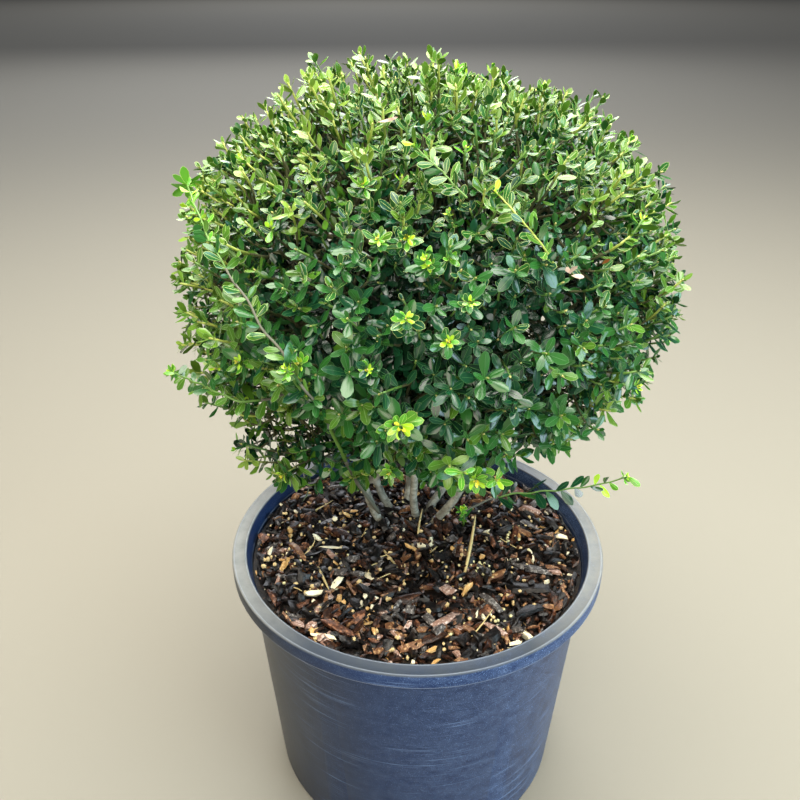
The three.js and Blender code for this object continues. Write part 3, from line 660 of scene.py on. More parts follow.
# A smooth line through points: a centripetal Catmull-Rom spline
def smoothLine(points, count):
    points = np.array(points, float)
    points = np.vstack([2 * points[0] - points[1], points, 2 * points[-1] - points[-2]])
    pieces = []
    for p0, p1, p2, p3 in zip(points, points[1:], points[2:], points[3:]):
        d0, d1, d2 = [np.linalg.norm(b - a) ** 0.5 for a, b in ((p0, p1), (p1, p2), (p2, p3))]
        leave = d1 * ((p1 - p0) / d0 - (p2 - p0) / (d0 + d1) + (p2 - p1) / d1)
        arrive = d1 * ((p2 - p1) / d1 - (p3 - p1) / (d1 + d2) + (p3 - p2) / d2)
        s = np.linspace(0, 1, 30)[:, None]
        pieces.append(p1 + leave * s + (3 * (p2 - p1) - 2 * leave - arrive) * s ** 2
                      + (2 * (p1 - p2) + leave + arrive) * s ** 3)
    return evenly(np.vstack(pieces), count)


def bezierLine(a, b, c, d, count):
    s = np.linspace(0, 1, count)[:, None]
    return a * (1 - s) ** 3 + 3 * b * s * (1 - s) ** 2 + 3 * c * s ** 2 * (1 - s) + d * s ** 3


# The stems' centre lines, and the masses that each stem's boughs carry, the lowest first
def placeStems(masses):
    stems = []
    for i, (turn, x, y) in enumerate(limbs["feet"]):
        out = pointing(90, turn)
        base = np.array([x, y, mixTop], float)
        top = np.array([*crown["heart"][:2], limbs["topHeight"]]) + out * limbs["topSpread"]
        top = top + up * limbs["topWobble"] * float(wobble(i + 20))
        points = [base - (up + out * limbs["footLean"]) * limbs["sunk"], base]
        for share in (0.34, 0.67):  # two points between, where it bows out
            bow = limbs["bow"] + limbs["bowWobble"] * float(wobble(i + 30 + share))
            points.append(lerp(base, top, share) + out * bow)
        stems.append({"turn": turn, "line": smoothLine([*points, top], limbs["stemSteps"] + 1), "masses": []})
    for mass in masses:
        nearest = min(stems, key=lambda stem: abs((stem["turn"] - mass["turn"] + 540) % 360 - 180))
        nearest["masses"].append(mass)
    for stem in stems:
        stem["masses"].sort(key=lambda mass: -mass["polar"])
    return stems


# The centre lines of the boughs, each from its fork to the mass it carries and on to the mass's seed
def placeBoughs(stems):
    boughs, steps = [], limbs["stemSteps"]
    for stem in stems:
        line, most = stem["line"], len(stem["masses"]) - 1
        for i, mass in enumerate(stem["masses"]):
            last = i == most
            along = 1 if last else lerp(limbs["firstFork"], limbs["lastFork"], i / max(1, most))
            at = min(steps - 1, round(along * steps))
            start, tangent = line[-1 if last else at], unit(line[at + 1] - line[at])
            toEntry = mass["entry"] - start
            aside = unit(toEntry - tangent * (toEntry @ tangent))
            lean = math.radians(0 if last else limbs["stubAngle"])
            direction = tangent * math.cos(lean) + aside * math.sin(lean)
            stubEnd = start + direction * (0 if last else limbs["stubLength"])
            far = np.linalg.norm(mass["entry"] - stubEnd)
            bent = bezierLine(stubEnd, stubEnd + direction * far * limbs["leavePull"],
                              mass["entry"] - mass["axis"] * far * limbs["arrivePull"], mass["entry"],
                              limbs["bendPoints"])
            whole = np.vstack([bent, mass["seed"]] if last else [start, bent, mass["seed"]])
            radius = limbs["topRadius"] if last else limbs["boughRadius"]
            boughs.append({"line": evenly(whole, limbs["boughPoints"]), "start": radius})
    return boughs


# A thin grey-brown bark, finely ridged, with paler lichen and darker hollows
def barkFinish():
    finish = newFinish("hollyBark", limbs["bark"], 0.75)
    tree = finish.node_tree
    shader = tree.nodes["Principled BSDF"]
    place = addNode(tree, "ShaderNodeTexCoord").outputs["Object"]
    # blotches of some 6 mm and grain under 1 mm
    blotches = addNode(tree, "ShaderNodeTexNoise", {"Scale": 160, "Detail": 4, "Roughness": 0.65},
                       {"Vector": place})
    grain = addNode(tree, "ShaderNodeTexNoise", {"Scale": 1300, "Detail": 2}, {"Vector": place})
    ramp = addNode(tree, "ShaderNodeValToRGB", None, {"Fac": blotches})
    hollows, lichen = ramp.color_ramp.elements
    hollows.position, lichen.position = 0.36, 0.66
    hollows.color, lichen.color = linear(limbs["barkHollows"]), linear(limbs["lichen"])
    tree.links.new(ramp.outputs[0], shader.inputs["Base Color"])
    bump = addNode(tree, "ShaderNodeBump", {"Strength": 0.6, "Distance": 0.4 * mm}, {"Height": grain})
    tree.links.new(bump.outputs[0], shader.inputs["Normal"])
    return finish


# One fused mesh for all stems and boughs: round lines of varying thickness, remeshed together, then roughened
def makeLimbs(stems, boughs):
    curve = bpy.data.curves.new("limbLines", "CURVE")
    curve.dimensions = "3D"
    curve.bevel_depth = mm
    curve.bevel_resolution = 3
    curve.use_fill_caps = True
    lines = []
    for stem in stems:
        share = np.linspace(0, 1, len(stem["line"]))
        flare = limbs["flare"] * np.maximum(0, 1 - share / limbs["flareShare"])
        lines.append((stem["line"], lerp(limbs["baseRadius"], limbs["topRadius"], share) + flare))
    for bough in boughs:
        share = np.linspace(0, 1, limbs["boughPoints"])
        radii = np.interp(share, [0, 0.7, 1], [bough["start"], limbs["boughTip"], limbs["seedRadius"]])
        lines.append((bough["line"], radii))
    for line, radii in lines:
        crook = np.cumsum(dice.normal(0, 0.25, line.shape), axis=0)
        crook -= lerp(crook[0], crook[-1], np.linspace(0, 1, len(line))[:, None])
        crook *= limbs["crook"] / max(0.5, np.abs(crook).max())
        knots = 1 + limbs["knots"] * np.maximum(0, dice.normal(0, 0.7, len(line)))
        spline = curve.splines.new("POLY")
        spline.points.add(len(line) - 1)
        for point, place, radius in zip(spline.points, (line + crook) * mm, radii * knots):
            point.co = (*place, 1)
            point.radius = radius
    limbPiece = bpy.data.objects.new("stemsAndBoughs", curve)
    bpy.context.scene.collection.objects.link(limbPiece)
    selectOnly(limbPiece)
    bpy.ops.object.convert(target="MESH")
    limbPiece = bpy.context.active_object
    limbPiece.name = limbPiece.data.name = "stemsAndBoughs"
    applyModifier(limbPiece, "REMESH", mode="VOXEL", voxel_size=limbs["meshSize"] * mm)
    ridges = bpy.data.textures.new("barkRidges", "CLOUDS")
    ridges.noise_scale = limbs["ridgeWidth"] * mm
    applyModifier(limbPiece, "DISPLACE", texture=ridges, strength=limbs["ridgeHeight"] * mm, mid_level=0.5)
    limbPiece.data.materials.clear()
    limbPiece.data.materials.append(barkFinish())
    selectOnly(limbPiece)
    bpy.ops.object.shade_smooth()
    nodes = [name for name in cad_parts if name.startswith(("stem_", "bough_"))]
    dress(limbPiece, "bark", *nodes)


masses = placeMasses()
stems = placeStems(masses)
makeLimbs(stems, placeBoughs(stems))
print("stems and boughs made")

# Twigs branch from each mass's stem to evenly spread places under the outline, and fine shoots from the twigs
# to the outline. Lengths in millimetres.
twigs = {
    "seed": 1030, "tips": 180, "lowestTip": -0.92, "back": 32, "inset": 11, "lift": 30, "pull": 0.3,
    "baseRadius": 1.5, "tipRadius": 0.8, "points": 9, "sides": 5, "bark": "#434524",
}
shoots = {
    "count": 2500, "scatter": 0.03,
    # how far under the outline they end: mean, spread and limits, and the share and range of those deeper in
    "edge": (9.5, 6.5, -6, 22), "deepShare": 0.3, "deep": (17, 54),
    # those inside the crown: how many, how far out as a share, and the heights over which they begin
    "inner": 900, "innerReach": (0.3, 0.76), "innerLowest": (-0.4, 0.15),
    # where the crown is more open, or fuller where the share taken away is below zero: angles, share, spread
    "thin": [(118, 225, 0.25, 16), (132, 204, -1.1, 17), (112, 330, 0.2, 16)],
    # shoots that hang among the stems: how many, and the box that they end in
    "low": (16, (-58, -8, 250), (48, 40, 270)),
    "lift": 0.42, "underLift": 1.15, "stray": 0.26, "rootBack": 30, "tipLift": 0.25,
    "baseRadius": 0.95, "tipRadius": 0.66, "oldSides": 3, "youngSides": 4, "points": 7, "youngFrom": 4,
    # how long the leafy part is, its largest share, how the leaves' size varies, and the share of fresh tips
    "leafy": (28, 58), "leafyShare": 0.88, "leafSizes": (0.76, 1.24), "freshShare": 0.05, "freshDepth": 12,
    # the tone past which young bark is yellow-green, and buds: depth, radius, how far back and how long
    "paleFrom": 2.4, "budDepth": 25, "budRadius": (0.55, 0.95), "budBack": 0.4, "budLength": 2.2,
    "yellow": "#9aa64a", "green": "#5b7f35", "greyBrown": "#5f5e50", "bud": "#b3ad68",
}
# How the shoots change with height on the crown, where -1 is straight down from its centre and 1 straight up:
# the share kept, the leaves' size, their tone, which paints light by height and is palest on the top, and how
# much deeper the shoots end
byHeight = {
    "height": [-1, -0.86, -0.6, -0.2, 0.1, 0.5, 1], "kept": [0, 0.34, 0.48, 0.64, 0.94, 1, 1],
    "size": [1.1, 1.1, 1.14, 1.13, 1.06, 0.88, 0.78], "tone": [1.3, 1.7, 2, 1.6, 1.6, 1.9, 2.5],
    "raised": [22, 16, 7, 0, 0, 0, 0],
}
# How far tones move: painted shade in front and with each millimetre of depth, painted light at the sides,
# and at random, less so in front
toneAndLightShift = {
    "all": 0.3, "front": -1.2, "left": 1.0, "right": 0.5, "depth": -0.05, "spread": 0.85, "even": 0.4,
}
# A shoot's leaves: how far back from the tip each of the first sits, its lean from the shoot, and its length
shootLeaves = {
    "back": [0.2, 0.8, 1.5, 2.3, 3.3, 4.6, 6.4], "spacing": 3.7, "lean": [14, 26, 42, 55, 63, 67, 66],
    "length": [3.2, 5.2, 7.4, 9, 10.2, 10.8, 10.6], "lengths": (0.84, 1.16),
    # the share of the lean at the crown's top, and how much faces turn up, outward and at random
    "uprightTop": 0.66, "toLight": 0.5, "outward": 0.12, "facing": 0.3,
    # the share of the first leaves of a fresh tip that is lime, and how small young leaves are
    "lime": [1, 1, 0.8, 0.3, 0.1, 0], "youngSize": 0.75,
}
# A rosette of new growth: how far back from the tip each whorl sits, and its leaves, lean and length
whorls = {"back": [0.3, 1.4, 3], "leaves": [5, 7, 8], "lean": [24, 54, 78], "length": [4, 8, 12]}


# The twigs' starts and ends, the mass that each belongs to, and the masses' seeds. Twigs stay clear of the
# boundary between two masses.
def placeTwigs(masses):
    seeds = np.array([mass["seed"] for mass in masses])
    directions = evenDirections(twigs["tips"])
    number = np.arange(twigs["tips"])
    keep = directions[:, 2] >= twigs["lowestTip"]
    directions, number = directions[keep], number[keep]
    ends = crown["centre"] + directions * (crownReach(directions) - twigs["back"])[:, None]
    owner = np.linalg.norm(ends[:, None] - seeds[None], axis=2).argmin(axis=1)
    for i, mine in enumerate(owner):
        for other in range(len(seeds)):
            if other != mine:
                away = unit(seeds[mine] - seeds[other])
                toWall = (ends[i] - (seeds[mine] + seeds[other]) / 2) @ away
                ends[i] += away * max(0, twigs["inset"] - toWall)
    share = 0.7 + 0.25 * wobble(twigs["seed"] + 20 * number)
    entries = np.array([mass["entry"] for mass in masses])
    starts = lerp(entries[owner], seeds[owner], share[:, None])
    return starts, ends, owner, seeds


# Leaf outlines along x with the face up z, one long and widest past the middle: stations and half widths.
# Leaves near the outline have more corners than those deeper in.
leaf = {
    "near": ([0.12, 0.37, 0.66, 0.89], [0.075, 0.19, 0.25, 0.155]), "deep": ([0.3, 0.74], [0.16, 0.24]),
    "nearDepth": 30, "slimness": (0.36, 0.48), "fold": 0.04, "dome": 0.5, "bend": 0.25,
    "rim": 0.21, "rimLift": 0.1, "midrib": 0.1, "roughness": 0.21, "ior": 1.52,
}


# One leaf's corners and faces: its root, three corners at each station, and its tip
def leafShape(stations, halves):
    corners, faces = [(0, 0, 0)], [[0, 2, 1], [0, 3, 2]]
    for x, half in zip(stations, halves):
        corners += [(x, side * half, 0) for side in (1, 0, -1)]
    corners.append((1, 0, 0))
    for a in range(1, 3 * len(stations) - 3, 3):
        faces += [[a, a + 1, a + 4, a + 3], [a + 1, a + 2, a + 5, a + 4]]
    last = 3 * len(stations) - 2
    faces += [[last, last + 1, last + 3], [last + 1, last + 2, last + 3]]
    return np.array(corners, float), faces


# Leaves from their roots, directions and faces. Each has its own length, width, dome and bend.
def leafArrays(leaves, shape):
    roots, directions, faceWays, lengths, widths = leaves
    count = len(roots)
    sides = np.cross(faceWays, directions)
    x, y = shape[:, 0], shape[:, 1] * 2
    dome = (leaf["dome"] * dice.uniform(0, 1.4, count))[:, None]
    bend = (leaf["bend"] * dice.uniform(-0.7, 1.7, count))[:, None]
    lift = leaf["fold"] * np.abs(y) - dome * y * y - bend * x * x
    corners = roots[:, None] + directions[:, None] * (x[None] * lengths[:, None])[..., None]
    corners += sides[:, None] * (y[None] * widths[:, None])[..., None]
    corners += faceWays[:, None] * (lift * lengths[:, None])[..., None]
    return corners


# The pale cartilage margin round each near leaf, as a thin strip on the leaf's own corners; it also paints
# the light caught along leaf edges
def marginArrays(corners, faceWays):
    order = [0, 1, 4, 7, 10, 13, 12, 9, 6, 3]
    many = len(order)
    edge = corners[:, order]
    outward = unit(edge - (corners[:, 5:6] + corners[:, 8:9]) / 2)
    raised = faceWays[:, None] * leaf["rimLift"]
    ring = np.concatenate([edge + raised, edge + raised + outward * leaf["rim"]], axis=1)
    return ring, [[k, k + many, (k + 1) % many + many, (k + 1) % many] for k in range(many)]


# The midrib, as a thin strip down the leaf's middle
def midribArrays(corners, faceWays):
    order = [0, 2, 5, 8, 11]
    many = len(order)
    spine = corners[:, order] + faceWays[:, None] * leaf["rimLift"]
    sideways = unit(np.cross(faceWays, corners[:, 13] - corners[:, 0]))[:, None] * leaf["midrib"]
    strip = np.concatenate([spine + sideways, spine - sideways], axis=1)
    return strip, [[k, k + 1, k + 1 + many, k + many] for k in range(many - 1)]


# Leaves: smooth and waxy, glossy on top. Tints by age, and by place where they paint light and shade, dealt
# out by shoot.
tints = [
    ("leafDeep", "#0d2b18"), ("leafBottle", "#154228"), ("leafHolly", "#255621"), ("leafMoss", "#446d1e"),
    ("leafOlive", "#5b7f28"), ("leafSage", "#7b983a"), ("leafFresh", "#55942a"), ("leafLime", "#a3cf2e"),
    ("leafYolk", "#e0d440"), ("leafRust", "#7d4a22"), ("leafDry", "#c3a998"),
]
holly, palestOld, fresh, lime, yolk, rust, dry = 2, 5, 6, 7, 8, 9, 10  # places in the list of tints
# Margins go round leaves near the outline past a length, and longer ones have a midrib too. For each tint:
# the leaf tints that it goes round, and the share of them at three heights on the crown. The pale margins,
# most on the top, are partly the leaves' own paler edges and partly painted light caught along them.
margins = {
    "heights": [0.1, 0.45, 0.7], "depth": 22, "rimFrom": 4, "midribFrom": 8,
    "tints": [
        ("darkLeafMargins", "#3d6c38", (0, 1, 2), [1, 0.75, 0.1]),
        ("mossLeafMargins", "#74954e", (3, 4, 5), [1, 0.6, 0.15]),
        ("paleLeafMargins", "#a3b76c", (1, 2, 3, 4, 5), [0, 0.4, 0.95]),
        ("freshLeafMargins", "#a8cc60", (6, 7), [1, 1, 1]),
    ],
}


# A tone for each shoot: 0 is deepest and 5 palest. Painted shade makes the front and deeper shoots darker,
# painted light makes the sides paler, and the front is more even.
def shootTones(spots, depth):
    x, y, z = spots.T
    tones = np.interp(z, byHeight["height"], byHeight["tone"])
    front = np.clip((-y - 0.5) * 2, 0, 1) * np.clip(1.5 - 2.4 * np.abs(z - 0.25), 0, 1)
    aside = toneAndLightShift["left"] * np.clip(-x, 0, 1) + toneAndLightShift["right"] * np.clip(x, 0, 1)
    chance = dice.normal(0, toneAndLightShift["spread"], len(spots)) * (1 - toneAndLightShift["even"] * front)
    return tones + toneAndLightShift["front"] * front + aside + toneAndLightShift["depth"] * depth + toneAndLightShift["all"] + chance


# Shoots grow outward and turn up to the light, most of all those on the underside
def shootWays(spots):
    lift = shoots["lift"] + shoots["underLift"] * np.clip(-spots[:, 2:], 0, 1)
    return unit(spots + up * lift + dice.normal(0, shoots["stray"], spots.shape))


# The ends of fine shoots, each with the direction that it grows in
def placeShoots():
    spots = evenDirections(shoots["count"])
    spots = unit(spots + dice.normal(0, shoots["scatter"], spots.shape))
    kept = np.interp(spots[:, 2], byHeight["height"], byHeight["kept"])
    for polar, turn, share, spread in shoots["thin"]:
        aside = np.degrees(np.arccos(np.clip(spots @ pointing(polar, turn), -1, 1))) / spread
        kept = kept * (1 - share * np.exp(-aside ** 2))
    spots = spots[dice.random(len(spots)) < kept]
    deep = dice.random(len(spots)) < shoots["deepShare"]
    middle, spread, out, back = shoots["edge"]
    edge = np.clip(dice.normal(middle, spread, len(spots)), out, back)
    depth = np.where(deep, dice.uniform(*shoots["deep"], len(spots)), edge)
    depth = depth + np.interp(spots[:, 2], byHeight["height"], byHeight["raised"])
    inner = unit(dice.normal(0, 1, (shoots["inner"], 3)))
    inner = inner[dice.random(len(inner)) < np.interp(inner[:, 2], shoots["innerLowest"], [0, 1])]
    spots = np.vstack([spots, inner])
    depth = np.concatenate([depth, crownReach(inner) * (1 - dice.uniform(*shoots["innerReach"], len(inner)))])
    ends = crown["centre"] + spots * (crownReach(spots) - depth)[:, None]
    many, low, high = shoots["low"]
    hanging = dice.uniform(low, high, (many, 3))
    ends, depth = np.vstack([ends, hanging]), np.append(depth, np.zeros(many))
    spots = np.vstack([spots, unit(hanging - crown["centre"])])
    return {"spots": spots, "depth": depth, "ends": ends, "ways": shootWays(spots)}


# Each shoot's root: a place on the nearest twig of its own mass
def rootShoots(ends, ways, twigLines, owner, seeds):
    mine = np.linalg.norm(ends[:, None] - seeds[None], axis=2).argmin(axis=1)
    behind = ends - ways * shoots["rootBack"]
    away = np.linalg.norm(behind[:, None] - twigLines[None, :, -1], axis=2)
    away[owner[None] != mine[:, None]] += 1000  # past any twig of its own
    near = away.argmin(axis=1)
    points = twigLines.shape[1]
    return twigLines[near, dice.integers(points // 3, points, len(near))]


# The place on each arched line at a share of its way, and the way it runs there
def onArches(starts, ends, ways, shares):
    middle = archMiddle(starts, ends, ways)
    s = shares[:, None]
    place = starts * (1 - s) ** 2 + 2 * middle * s * (1 - s) + ends * s ** 2
    return place, unit((middle - starts) * (1 - s) + (ends - middle) * s)


# The direction and face of a leaf that leans out from its shoot, turned round it, and faces the light
def leanLeaves(along, turns, leans, spots):
    steady = np.where(np.abs(along[:, 2:]) < 0.9, up, np.array([1.0, 0, 0]))
    aside = unit(np.cross(along, steady))
    other = np.cross(along, aside)
    out = aside * np.cos(turns)[:, None] + other * np.sin(turns)[:, None]
    directions = along * np.cos(leans)[:, None] + out * np.sin(leans)[:, None]
    faces = along * np.sin(leans)[:, None] - out * np.cos(leans)[:, None]
    faces = faces + shootLeaves["toLight"] * up + shootLeaves["outward"] * spots
    faces = faces + dice.normal(0, shootLeaves["facing"], spots.shape)
    faces = unit(faces - directions * np.sum(faces * directions, axis=1)[:, None])
    return directions, faces


# All leaves of a set of shoots: a rosette at each tip, then leaves set in a spiral down the shoot
def leafShoots(starts, ends, ways, spots, tones, isFresh, leafy, sizes):
    count = len(starts)
    lengths = np.linalg.norm(ends - starts, axis=1)
    phase = dice.random(count) * 2 * math.pi
    upright = lerp(1, shootLeaves["uprightTop"], np.clip(spots[:, 2] * 1.4, 0, 1))
    first, spacing = len(shootLeaves["back"]), shootLeaves["spacing"]
    rows = []
    for k in range(first + int(leafy.max() / spacing)):
        at = min(k, first - 1)
        back = shootLeaves["back"][at] + max(0, k - first + 1) * spacing + dice.uniform(-0.2, 0.5, count)
        shares = np.clip(1 - back / lengths, 0, 1)
        on = (back < leafy) & (shares > 0.08)
        place, along = onArches(starts, ends, ways, shares)
        turns = phase + k * goldenTurn + dice.normal(0, 0.2, count)
        leans = np.radians(shootLeaves["lean"][at] * upright + dice.normal(0, 9, count))
        directions, faces = leanLeaves(along, turns, leans, spots)
        long = shootLeaves["length"][at] * sizes * dice.uniform(*shootLeaves["lengths"], count)
        # the leaves nearest the tip are paler, by one tone
        tone = tones + np.interp(back, [0, 8], [1, 0]) + dice.normal(0, 0.25, count)
        kind = np.clip(np.round(tone), 0, palestOld).astype(int)
        if k < len(shootLeaves["lime"]):
            kind[isFresh] = np.where(dice.random(isFresh.sum()) < shootLeaves["lime"][k], lime, fresh)
        long[kind > palestOld] *= shootLeaves["youngSize"]
        rows.append([item[on] for item in (place, directions, faces, long, kind)])
    return [np.concatenate(item) for item in zip(*rows)]


# Rosettes of whorled new leaves at tips, yellow in the middle
def leafWhorls(tips, ways, sizes, outer):
    rows = []
    for back, many, lean, length, kind in zip(*whorls.values(), [yolk, lime, outer]):
        phase = dice.random(len(tips)) * 2 * math.pi
        for k in range(many):
            turns = phase + k / many * 2 * math.pi + dice.normal(0, 0.1, len(tips))
            leans = np.radians(lean + dice.normal(0, 6, len(tips)))
            directions, faces = leanLeaves(ways, turns, leans, ways)
            long = length * sizes * dice.uniform(0.88, 1.12, len(tips))
            kinds = np.where(dice.random(len(tips)) < 0.3, fresh, kind)
            rows.append([tips - ways * back, directions, faces, long, kinds])
    return [np.concatenate(item) for item in zip(*rows)]


# Tips of bright new growth: angle from straight up, angle round, and size
newTips = [
    (95, 262, 1.15), (116, 280, 1.1), (58, 262, 0.6), (59, 256, 0.5), (63, 267, 0.65), (73, 263, 0.6),
    (70, 275, 0.5), (77, 271, 0.65), (83, 256, 0.5), (84, 242, 0.6), (129, 216, 0.75), (114, 258, 0.6),
    (95, 317, 0.6), (49, 250, 0.6), (64, 205, 0.5), (27, 328, 0.5), (88, 226, 0.6), (66, 150, 0.6),
    (80, 95, 0.7), (108, 60, 0.7), (98, 20, 0.6), (110, 130, 0.7), (50, 40, 0.5), (120, 350, 0.7),
]

# Long shoots that stand out from the rest, with leaves in two ranks, in millimetres: the points each passes,
# the share that is woody, its radii and zigzag, its leaves, their length and two tints, the bare share, where
# young leaves begin, and the size of the rosette at its tip
longShoots = [
    {
        "path": [
            [30, 37, 186], [39, 38, 199], [69, 45, 210], [97, 41, 217], [124, 37, 223], [146, 32, 231],
            [164, 26, 242],
        ],
        "woody": 0.3, "radii": (1, 0.55), "zigzag": 0.6, "leaves": 22, "length": 15, "kinds": (1, 2),
        "bare": 0.26, "young": 0.9, "tip": 0.5,
    },
    {
        "path": [[-30, 30, 205], [-46, -8, 264], [-58, -48, 329], [-66, -92, 376], [-74, -108, 402]],
        "woody": 0.4, "radii": (1.7, 1), "zigzag": 0.6, "leaves": 36, "length": 11, "kinds": (2, 1),
        "bare": 0.22, "young": 0.9, "tip": 0.5,
    },
    {
        "path": [
            [-50, -76, 356], [-63, -106, 385], [-77, -101, 409], [-87, -95, 420], [-96, -86, 433],
            [-108, -73, 445], [-120, -55, 457], [-130, -35, 468], [-144, 3, 474],
        ],
        "woody": 0.6, "radii": (0.9, 0.5), "zigzag": 0.5, "leaves": 76, "length": 10, "kinds": (2, 3),
        "bare": 0.06, "young": 0.7, "tip": 0.85,
    },
    {
        "path": [[-70, -30, 350], [-109, -62, 357], [-136, -50, 362], [-166, -12, 352]],
        "woody": 0.3, "radii": (0.9, 0.6), "zigzag": 0.5, "leaves": 34, "length": 10.5, "kinds": (2, 3),
        "bare": 0.06, "young": 0.92, "tip": 0.5,
    },
    {
        "path": [[68, -88, 453], [61, -95, 464], [53, -92, 473], [45, -86, 481], [36, -77, 489]],
        "woody": 0, "radii": (0.6, 0.45), "zigzag": 0.15, "leaves": 26, "length": 9, "kinds": (2, 3),
        "bare": 0.12, "young": 1, "tip": 0.3, "yellow": True,
    },
    {
        "path": [[22, -76, 485], [15, -73, 491], [9, -69, 497], [1, -65, 503], [-6, -60, 509]],
        "woody": 0, "radii": (0.6, 0.45), "zigzag": 0.15, "leaves": 15, "length": 9, "kinds": (3, 2),
        "bare": 0.12, "young": 1, "tip": 0.3,
    },
    {
        "path": [[38, 27, 192], [38, 23, 202], [37, 19, 211], [35, 16, 219]],
        "woody": 0, "radii": (0.8, 0.5), "zigzag": 0.2, "leaves": 11, "length": 8, "kinds": (2, 6),
        "bare": 0.25, "young": 0.95, "tip": 0.4,
    },
]
longShootPoints, longShootSides = 40, 7
towardFront = np.array([0, -0.75, 0.66])  # forward and up, the side on which the long shoots' leaves face


# A few withered leaves: place, way, face, length and tint
witheredLeaves = [
    ((-25, -53, 519), (1, -0.1, 0.1), (0.1, -0.3, 1), 11, rust),
    ((74, -99, 452), (0.3, -0.5, 0.8), (0.2, -1, -0.5), 8, dry),
    ((75, -99, 451), (0.9, -0.4, 0.1), (-0.1, -0.9, 0.5), 7, dry),
    ((75, -99, 452), (-0.5, -0.3, 0.6), (0.4, -1, 0), 6, dry),
    ((94, -84, 452), (0.5, -0.5, 0.6), (0, -1, 0.4), 6, rust),
]


# The long shoots' stems, and all their leaves with the withered ones
def makeLongShoots(worn, green, yellow):
    rows, tips, ways = [], [], []
    last, sides = longShootPoints - 1, longShootSides
    for i, item in enumerate(longShoots):
        line = smoothLine(item["path"], longShootPoints)
        zigzag = np.sin(np.arange(longShootPoints) * 1.1) * np.sin(np.linspace(0, math.pi, longShootPoints))
        line = line + zigzag[:, None] * np.cross(unit(line[-1] - line[0]), towardFront) * item["zigzag"]
        radii = lerp(*item["radii"], np.linspace(0, 1, longShootPoints))
        turn = round(item["woody"] * last)
        if turn:
            foot = slice(turn + 1)
            makeTubes(f"longShootFoot{i + 1}", line[None, foot], radii[None, foot], sides, worn, "bark")
        bark = yellow if item.get("yellow") else green
        makeTubes(f"longShoot{i + 1}", line[None, turn:], radii[None, turn:], sides, bark, "foliage")

        count = item["leaves"]
        share = np.clip(np.linspace(item["bare"], 0.98, count) + dice.normal(0, 0.014, count), 0, 0.99)
        at = np.clip(np.round(share * last).astype(int), 1, last)
        along = unit(line[at] - line[at - 1])
        leans = np.radians(np.interp(share, [0, 0.9, 1], [62, 54, 38]) + dice.normal(0, 12, count))[:, None]
        light = unit(towardFront + dice.normal(0, 0.45, (count, 3)))
        rank = np.where(np.arange(count) % 2, 1, -1)[:, None]
        aside = unit(np.cross(along, light) * rank + light * dice.uniform(-0.3, 0.9, (count, 1)))
        directions = along * np.cos(leans) + aside * np.sin(leans)
        faces = unit(light - directions * np.sum(light * directions, axis=1)[:, None])
        long = item["length"] * dice.uniform(0.72, 1.15, count)
        isYoung = share > item["young"] + dice.normal(0, 0.06, count)
        youngKind = dice.integers(fresh, lime + 1, count)
        kind = np.where(isYoung, youngKind, np.where(dice.random(count) < 0.6, *item["kinds"]))
        long[kind > palestOld] *= 0.8
        rows.append([line[at], directions, faces, long, kind])
        tips.append(line[-1])
        ways.append(unit(line[-1] - line[-3]))
    tipSizes = np.array([item["tip"] for item in longShoots])
    rows.append(leafWhorls(np.array(tips), np.array(ways), tipSizes, fresh))

    places, ways, faces, long, kinds = [np.array(item) for item in zip(*witheredLeaves)]
    ways = unit(ways)
    rows.append([places, ways, unit(faces - ways * 0.1), long, kinds])
    return [np.concatenate(item) for item in zip(*rows)]


# Small tan buds, each of six corners, at the tips of shoots
def makeBuds(tips, ways):
    aside = unit(np.cross(ways, np.array([0.3, 0.9, 0.2])))
    other = np.cross(ways, aside)
    size = dice.uniform(*shoots["budRadius"], (len(tips), 1))
    corners = [tips - ways * shoots["budBack"], tips + aside * size, tips + other * size, tips - aside * size,
               tips - other * size, tips + ways * size * shoots["budLength"]]
    one = [[0, 2, 1], [0, 3, 2], [0, 4, 3], [0, 1, 4], [5, 1, 2], [5, 2, 3], [5, 3, 4], [5, 4, 1]]
    buds = newPiece("tipBuds", np.stack(corners, axis=1), one, newFinish("budScales", shoots["bud"], 0.6))
    dress(buds, "foliage")


